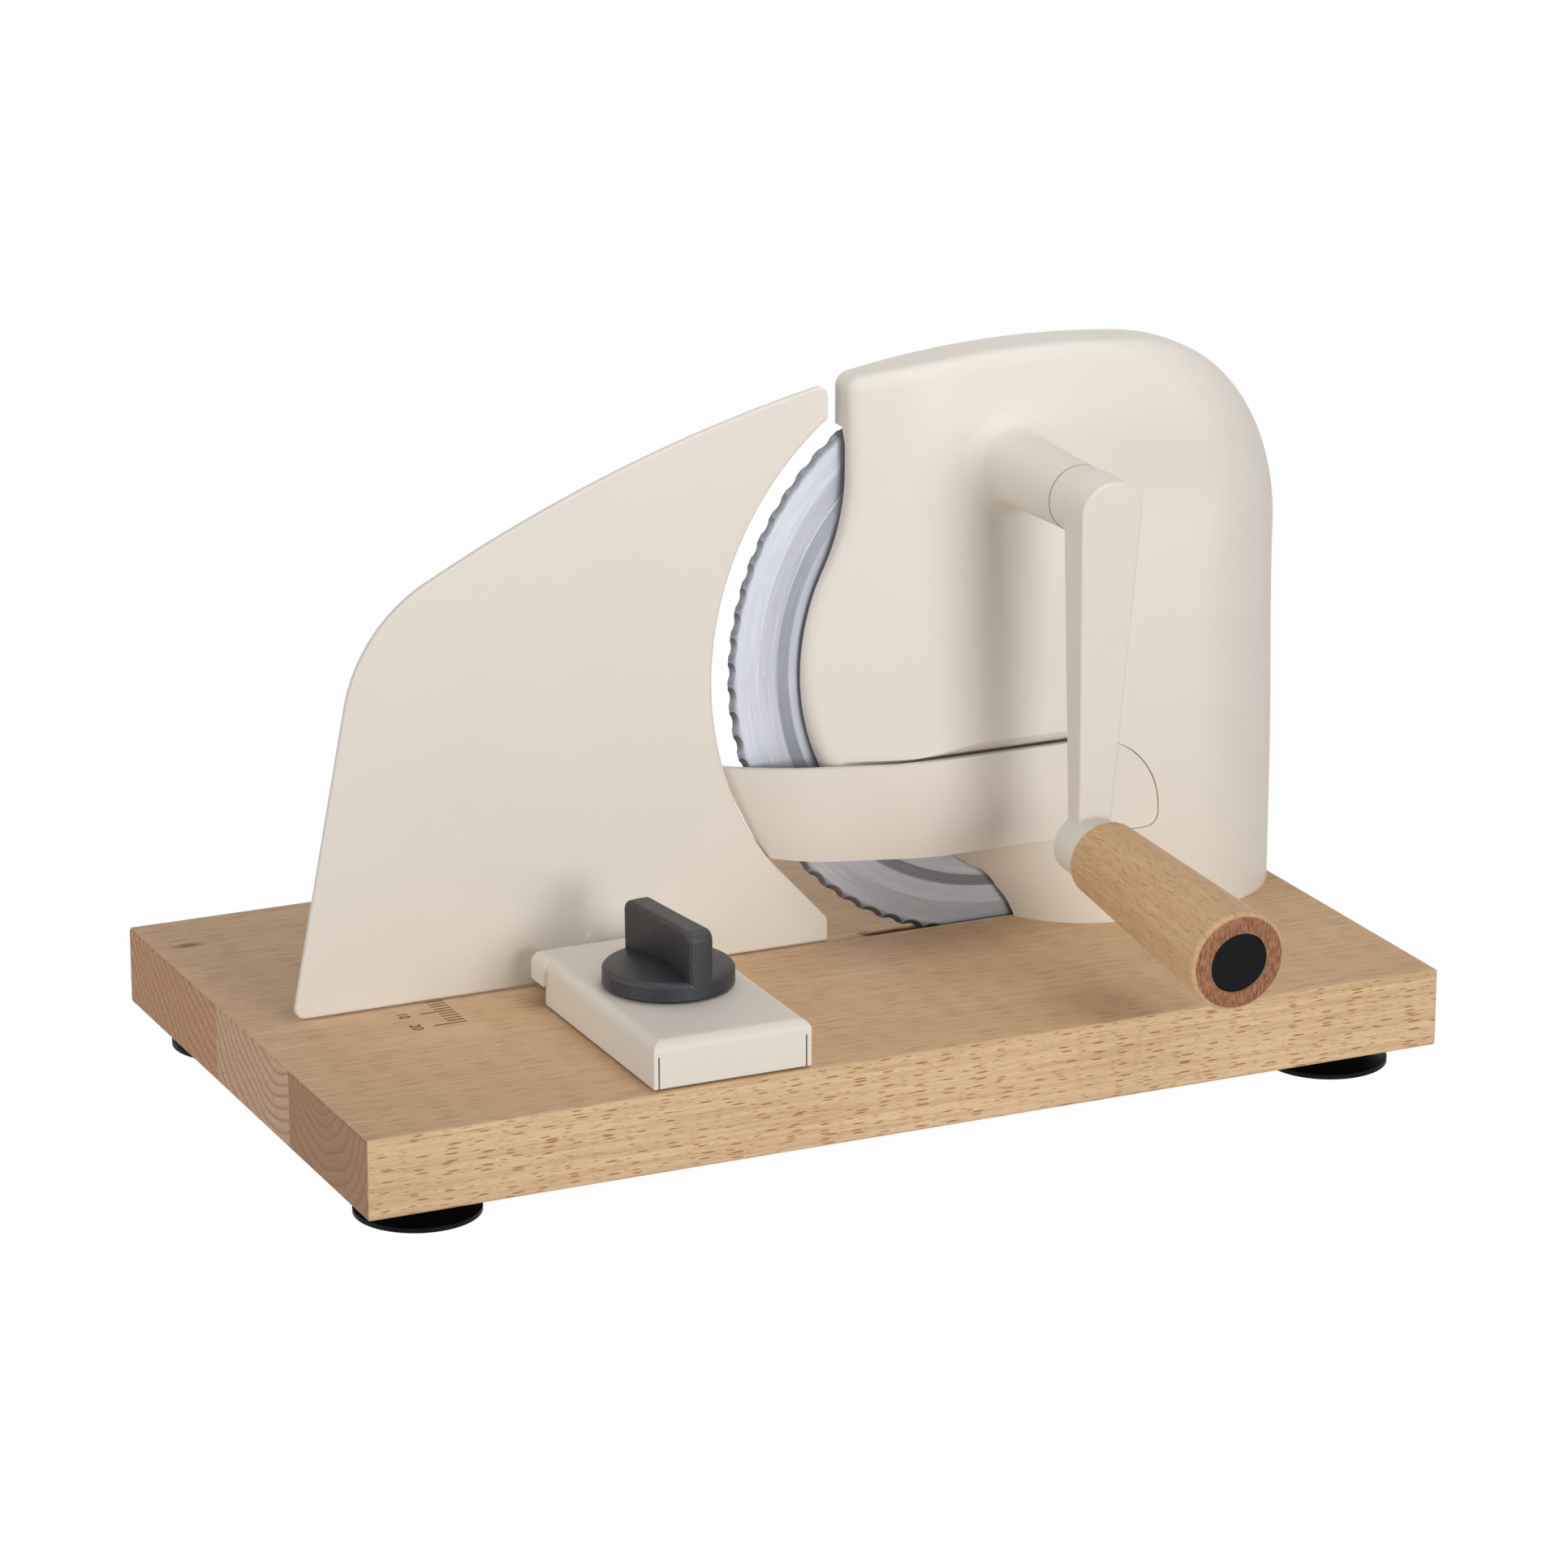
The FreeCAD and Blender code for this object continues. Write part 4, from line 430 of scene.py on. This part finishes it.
METALS = {
    # name: (first tone, second tone, roughness)
    "steel": (tint(196, 198, 202), tint(178, 180, 186), 0.3),
    "bronze": (tint(206, 168, 104), tint(180, 140, 82), 0.35),
}
PLASTICS = {
    # name: (first tone, second tone, roughness, the grain's size and depth, shine)
    "gear_plastic": (tint(228, 226, 218), tint(216, 213, 204), 0.42, 1.2, 0.02, 0.5),
    "black_plastic": (tint(46, 48, 57), tint(16, 17, 22), 0.36, 0.5, 0.3, 0.5),
    "plug_plastic": (tint(17, 17, 21), tint(11, 11, 14), 0.5, 0.9, 0.02, 0.1),
    "foot_rubber": (tint(9, 9, 10), tint(5, 5, 6), 0.5, 0.8, 0.02, 0.1),
}
FINISHES = [
    (board_beech(), ["base_board"]),
    (grip_beech(), ["grip"]),
    (cream_coat(), [
        "housing_shell", "guard_strap", "fence_plate", "slider_cover", "crank_arm",
    ]),
    (blade_steel(), ["blade"]),
    (plated("steel"), [
        "foot_screws", "housing_screws", "axle_stud", "axle_clip", "guard_screws", "rail_screws",
        "clamp_stud", "fence_rivets", "crank_shaft", "grip_bolt", "blade_lock",
    ]),
    (plated("bronze"), ["crank_bush", "knob_insert"]),
    (moulded("gear_plastic"), [
        "crank_pinion", "blade_gear", "gear_washer", "guide_rail", "grip_washer",
    ]),
    (moulded("black_plastic"), ["knob"]),
    (moulded("plug_plastic"), ["grip_plug"]),
    (moulded("foot_rubber"), [
        "suction_foot_front_left", "suction_foot_front_right", "suction_foot_back_left",
        "suction_foot_back_right",
    ]),
]
for finish, names in FINISHES:
    for name in names:
        for slot in nodes[name].material_slots:
            slot.material = finish


# ---------------------------------------------------------------- engraved scale

# Its measures are in millimetres. Places are counted from the board's front left top corner.
MARK_LIFT = 0.02
MARK_COUNT = 11
MARK_STEP = 2.01
MARK_WIDTH = 0.62
MARK_LENGTH, LONG_MARK_LENGTH = 5.0, 9.7
LONG_MARK_EVERY = 5
MARK_RIGHT_END = 58.0
ZERO_MARK_Y = 94.6
NUMBER_SIZE, NUMBER_BOLDNESS = 4.4, 0.09
NUMBER_X = 43.4
NUMBERS_Y = {"10": 85.2, "20": 75.2}

board_low, board_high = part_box("base_board")
scale_corner = Vector((board_low.x, board_low.y, board_high.z))


def scale_burn():
    """Charred wood, darker in places."""
    burnt = Finish("scale_burn", Roughness=0.7)
    char = burnt.noise(burnt.place, size=0.7, roughness=0.7)
    burnt.paint(
        Base_Color=burnt.mix(char, tint(80, 46, 26), tint(112, 70, 42)),
        Normal=burnt.bump(char, depth=0.05, strength=0.5),
    )
    return burnt.material


burn = scale_burn()


def engrave(name, mesh):
    """Puts a mark on the board. Its mesh is measured from the scale's corner."""
    mesh.materials.append(burn)
    mark = added(name, mesh)
    mark.location = scale_corner
    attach(mark, "base")


def scale_marks():
    """A row of marks from the zero forward. The first, sixth and last are twice as long."""
    shape = bmesh.new()
    for index in range(MARK_COUNT):
        length = LONG_MARK_LENGTH if index % LONG_MARK_EVERY == 0 else MARK_LENGTH
        centre = Vector((MARK_RIGHT_END - length / 2, ZERO_MARK_Y - MARK_STEP * index, 0))
        size = Vector((length, MARK_WIDTH, MARK_LIFT * 2))
        place = Matrix.LocRotScale(centre * MM, None, size * MM)
        bmesh.ops.create_cube(shape, size=1.0, matrix=place)
    mesh = bpy.data.meshes.new("scale_marks")
    shape.to_mesh(mesh)
    shape.free()
    engrave("scale_marks", mesh)


def scale_number(text, y):
    """A number that reads from the back of the board towards its front."""
    curve = bpy.data.curves.new("number_" + text, "FONT")
    curve.body = text
    curve.size = NUMBER_SIZE * MM
    curve.offset = NUMBER_BOLDNESS * MM
    curve.extrude = MARK_LIFT * MM
    curve.align_x = "CENTER"
    curve.align_y = "CENTER"
    holder = added("number_curve", curve)
    depsgraph = bpy.context.evaluated_depsgraph_get()
    mesh = bpy.data.meshes.new_from_object(holder.evaluated_get(depsgraph))
    bpy.data.objects.remove(holder)
    quarter_turn = Matrix.Rotation(math.radians(-90), 4, "Z")
    mesh.transform(Matrix.Translation((NUMBER_X * MM, y * MM, 0)) @ quarter_turn)
    engrave("scale_number_" + text, mesh)


scale_marks()
for text, y in NUMBERS_Y.items():
    scale_number(text, y)


# ---------------------------------------------------------------- studio and camera

# Lengths are in metres from here on, and those of the camera's lens and sensor in millimetres.
# Angles are in degrees.
FLOOR_HALF = 6.0
FLOOR_DROP = 0.0005
FLOOR_COLOUR = (0.86, 0.86, 0.86, 1)
FLOOR_GLOW = 0.98
WORLD_COLOUR = (1, 1, 1, 1)
WORLD_LIGHT = 0.15

LAMP_TARGET = Vector((0.02, 0.03, 0.09))
LAMPS = {
    # name: (place, width and height, power in watts)
    "key": ((0.347, -2.033, 0.31), (0.8, 0.8), 23.5),
    "front_high": ((0.02, -1.455, 1.575), (1.6, 1.6), 4),
    "left_front": ((-1.946, -0.685, 0.273), (1.2, 0.8), 13),
    "left_back": ((-1.886, 0.724, 0.633), (1.4, 1.2), 5.5),
    "overhead": ((0.08, -0.02, 0.5), (0.3, 0.3), 0.62),
    "back_low": ((0.5, 2.1, 0.16), (1.2, 0.3), 7),
}

CAMERA_PLACE = (-0.67935, -1.445821, 0.59425)
CAMERA_TILT, CAMERA_HEADING = 72.39, -24.81
CAMERA_LENS, CAMERA_SENSOR = 139.85, 36


def studio_floor():
    """Pale paper that shows as white but keeps the object's shadow."""
    half = FLOOR_HALF
    corners = [(-half, -half, 0), (half, -half, 0), (half, half, 0), (-half, half, 0)]
    mesh = bpy.data.meshes.new("studio_floor")
    mesh.from_pydata(corners, [], [(0, 1, 2, 3)])
    floor = added("studio_floor", mesh)
    floor.location.z = -FLOOR_DROP
    paper = bpy.data.materials.new("studio_paper")
    paper.use_nodes = True
    paper.node_tree.nodes.clear()
    build = Wiring(paper.node_tree)
    diffuse = build.node("BsdfDiffuse", {"Color": FLOOR_COLOUR}).outputs[0]
    glow = build.node("Emission").outputs[0]
    weight = build.calc("MULTIPLY", build.shown_rays(), FLOOR_GLOW)
    both = build.node("MixShader", {0: weight, 1: diffuse, 2: glow}).outputs[0]
    build.node("OutputMaterial", {"Surface": both})
    mesh.materials.append(paper)


def studio_world():
    """White where it is seen, and a weak even light on the object."""
    world = bpy.data.worlds.new("studio_world")
    bpy.context.scene.world = world
    world.use_nodes = True
    build = Wiring(world.node_tree)
    levels = {"Value": build.shown_rays(), "To Min": WORLD_LIGHT, "To Max": 1.0}
    strength = build.node("MapRange", levels).outputs[0]
    background = world.node_tree.nodes["Background"]
    build.give(background, {"Color": WORLD_COLOUR, "Strength": strength})


def softbox(name, place, size, power):
    """A soft lamp that looks at the object."""
    lamp = bpy.data.lights.new(name, "AREA")
    lamp.shape = "RECTANGLE"
    lamp.size, lamp.size_y = size
    lamp.energy = power
    box = added(name, lamp)
    box.location = place
    box.rotation_euler = (LAMP_TARGET - Vector(place)).to_track_quat("-Z", "Y").to_euler()


def photo_camera():
    """A camera where the photograph's stood."""
    camera = added("photo_camera", bpy.data.cameras.new("photo_camera"))
    camera.location = CAMERA_PLACE
    camera.rotation_euler = (math.radians(CAMERA_TILT), 0, math.radians(CAMERA_HEADING))
    camera.data.lens = CAMERA_LENS
    camera.data.sensor_width = CAMERA_SENSOR
    bpy.context.scene.camera = camera


studio_floor()
studio_world()
for name, (place, size, power) in LAMPS.items():
    softbox(name, place, size, power)
photo_camera()
bpy.context.scene.view_settings.view_transform = "Standard"
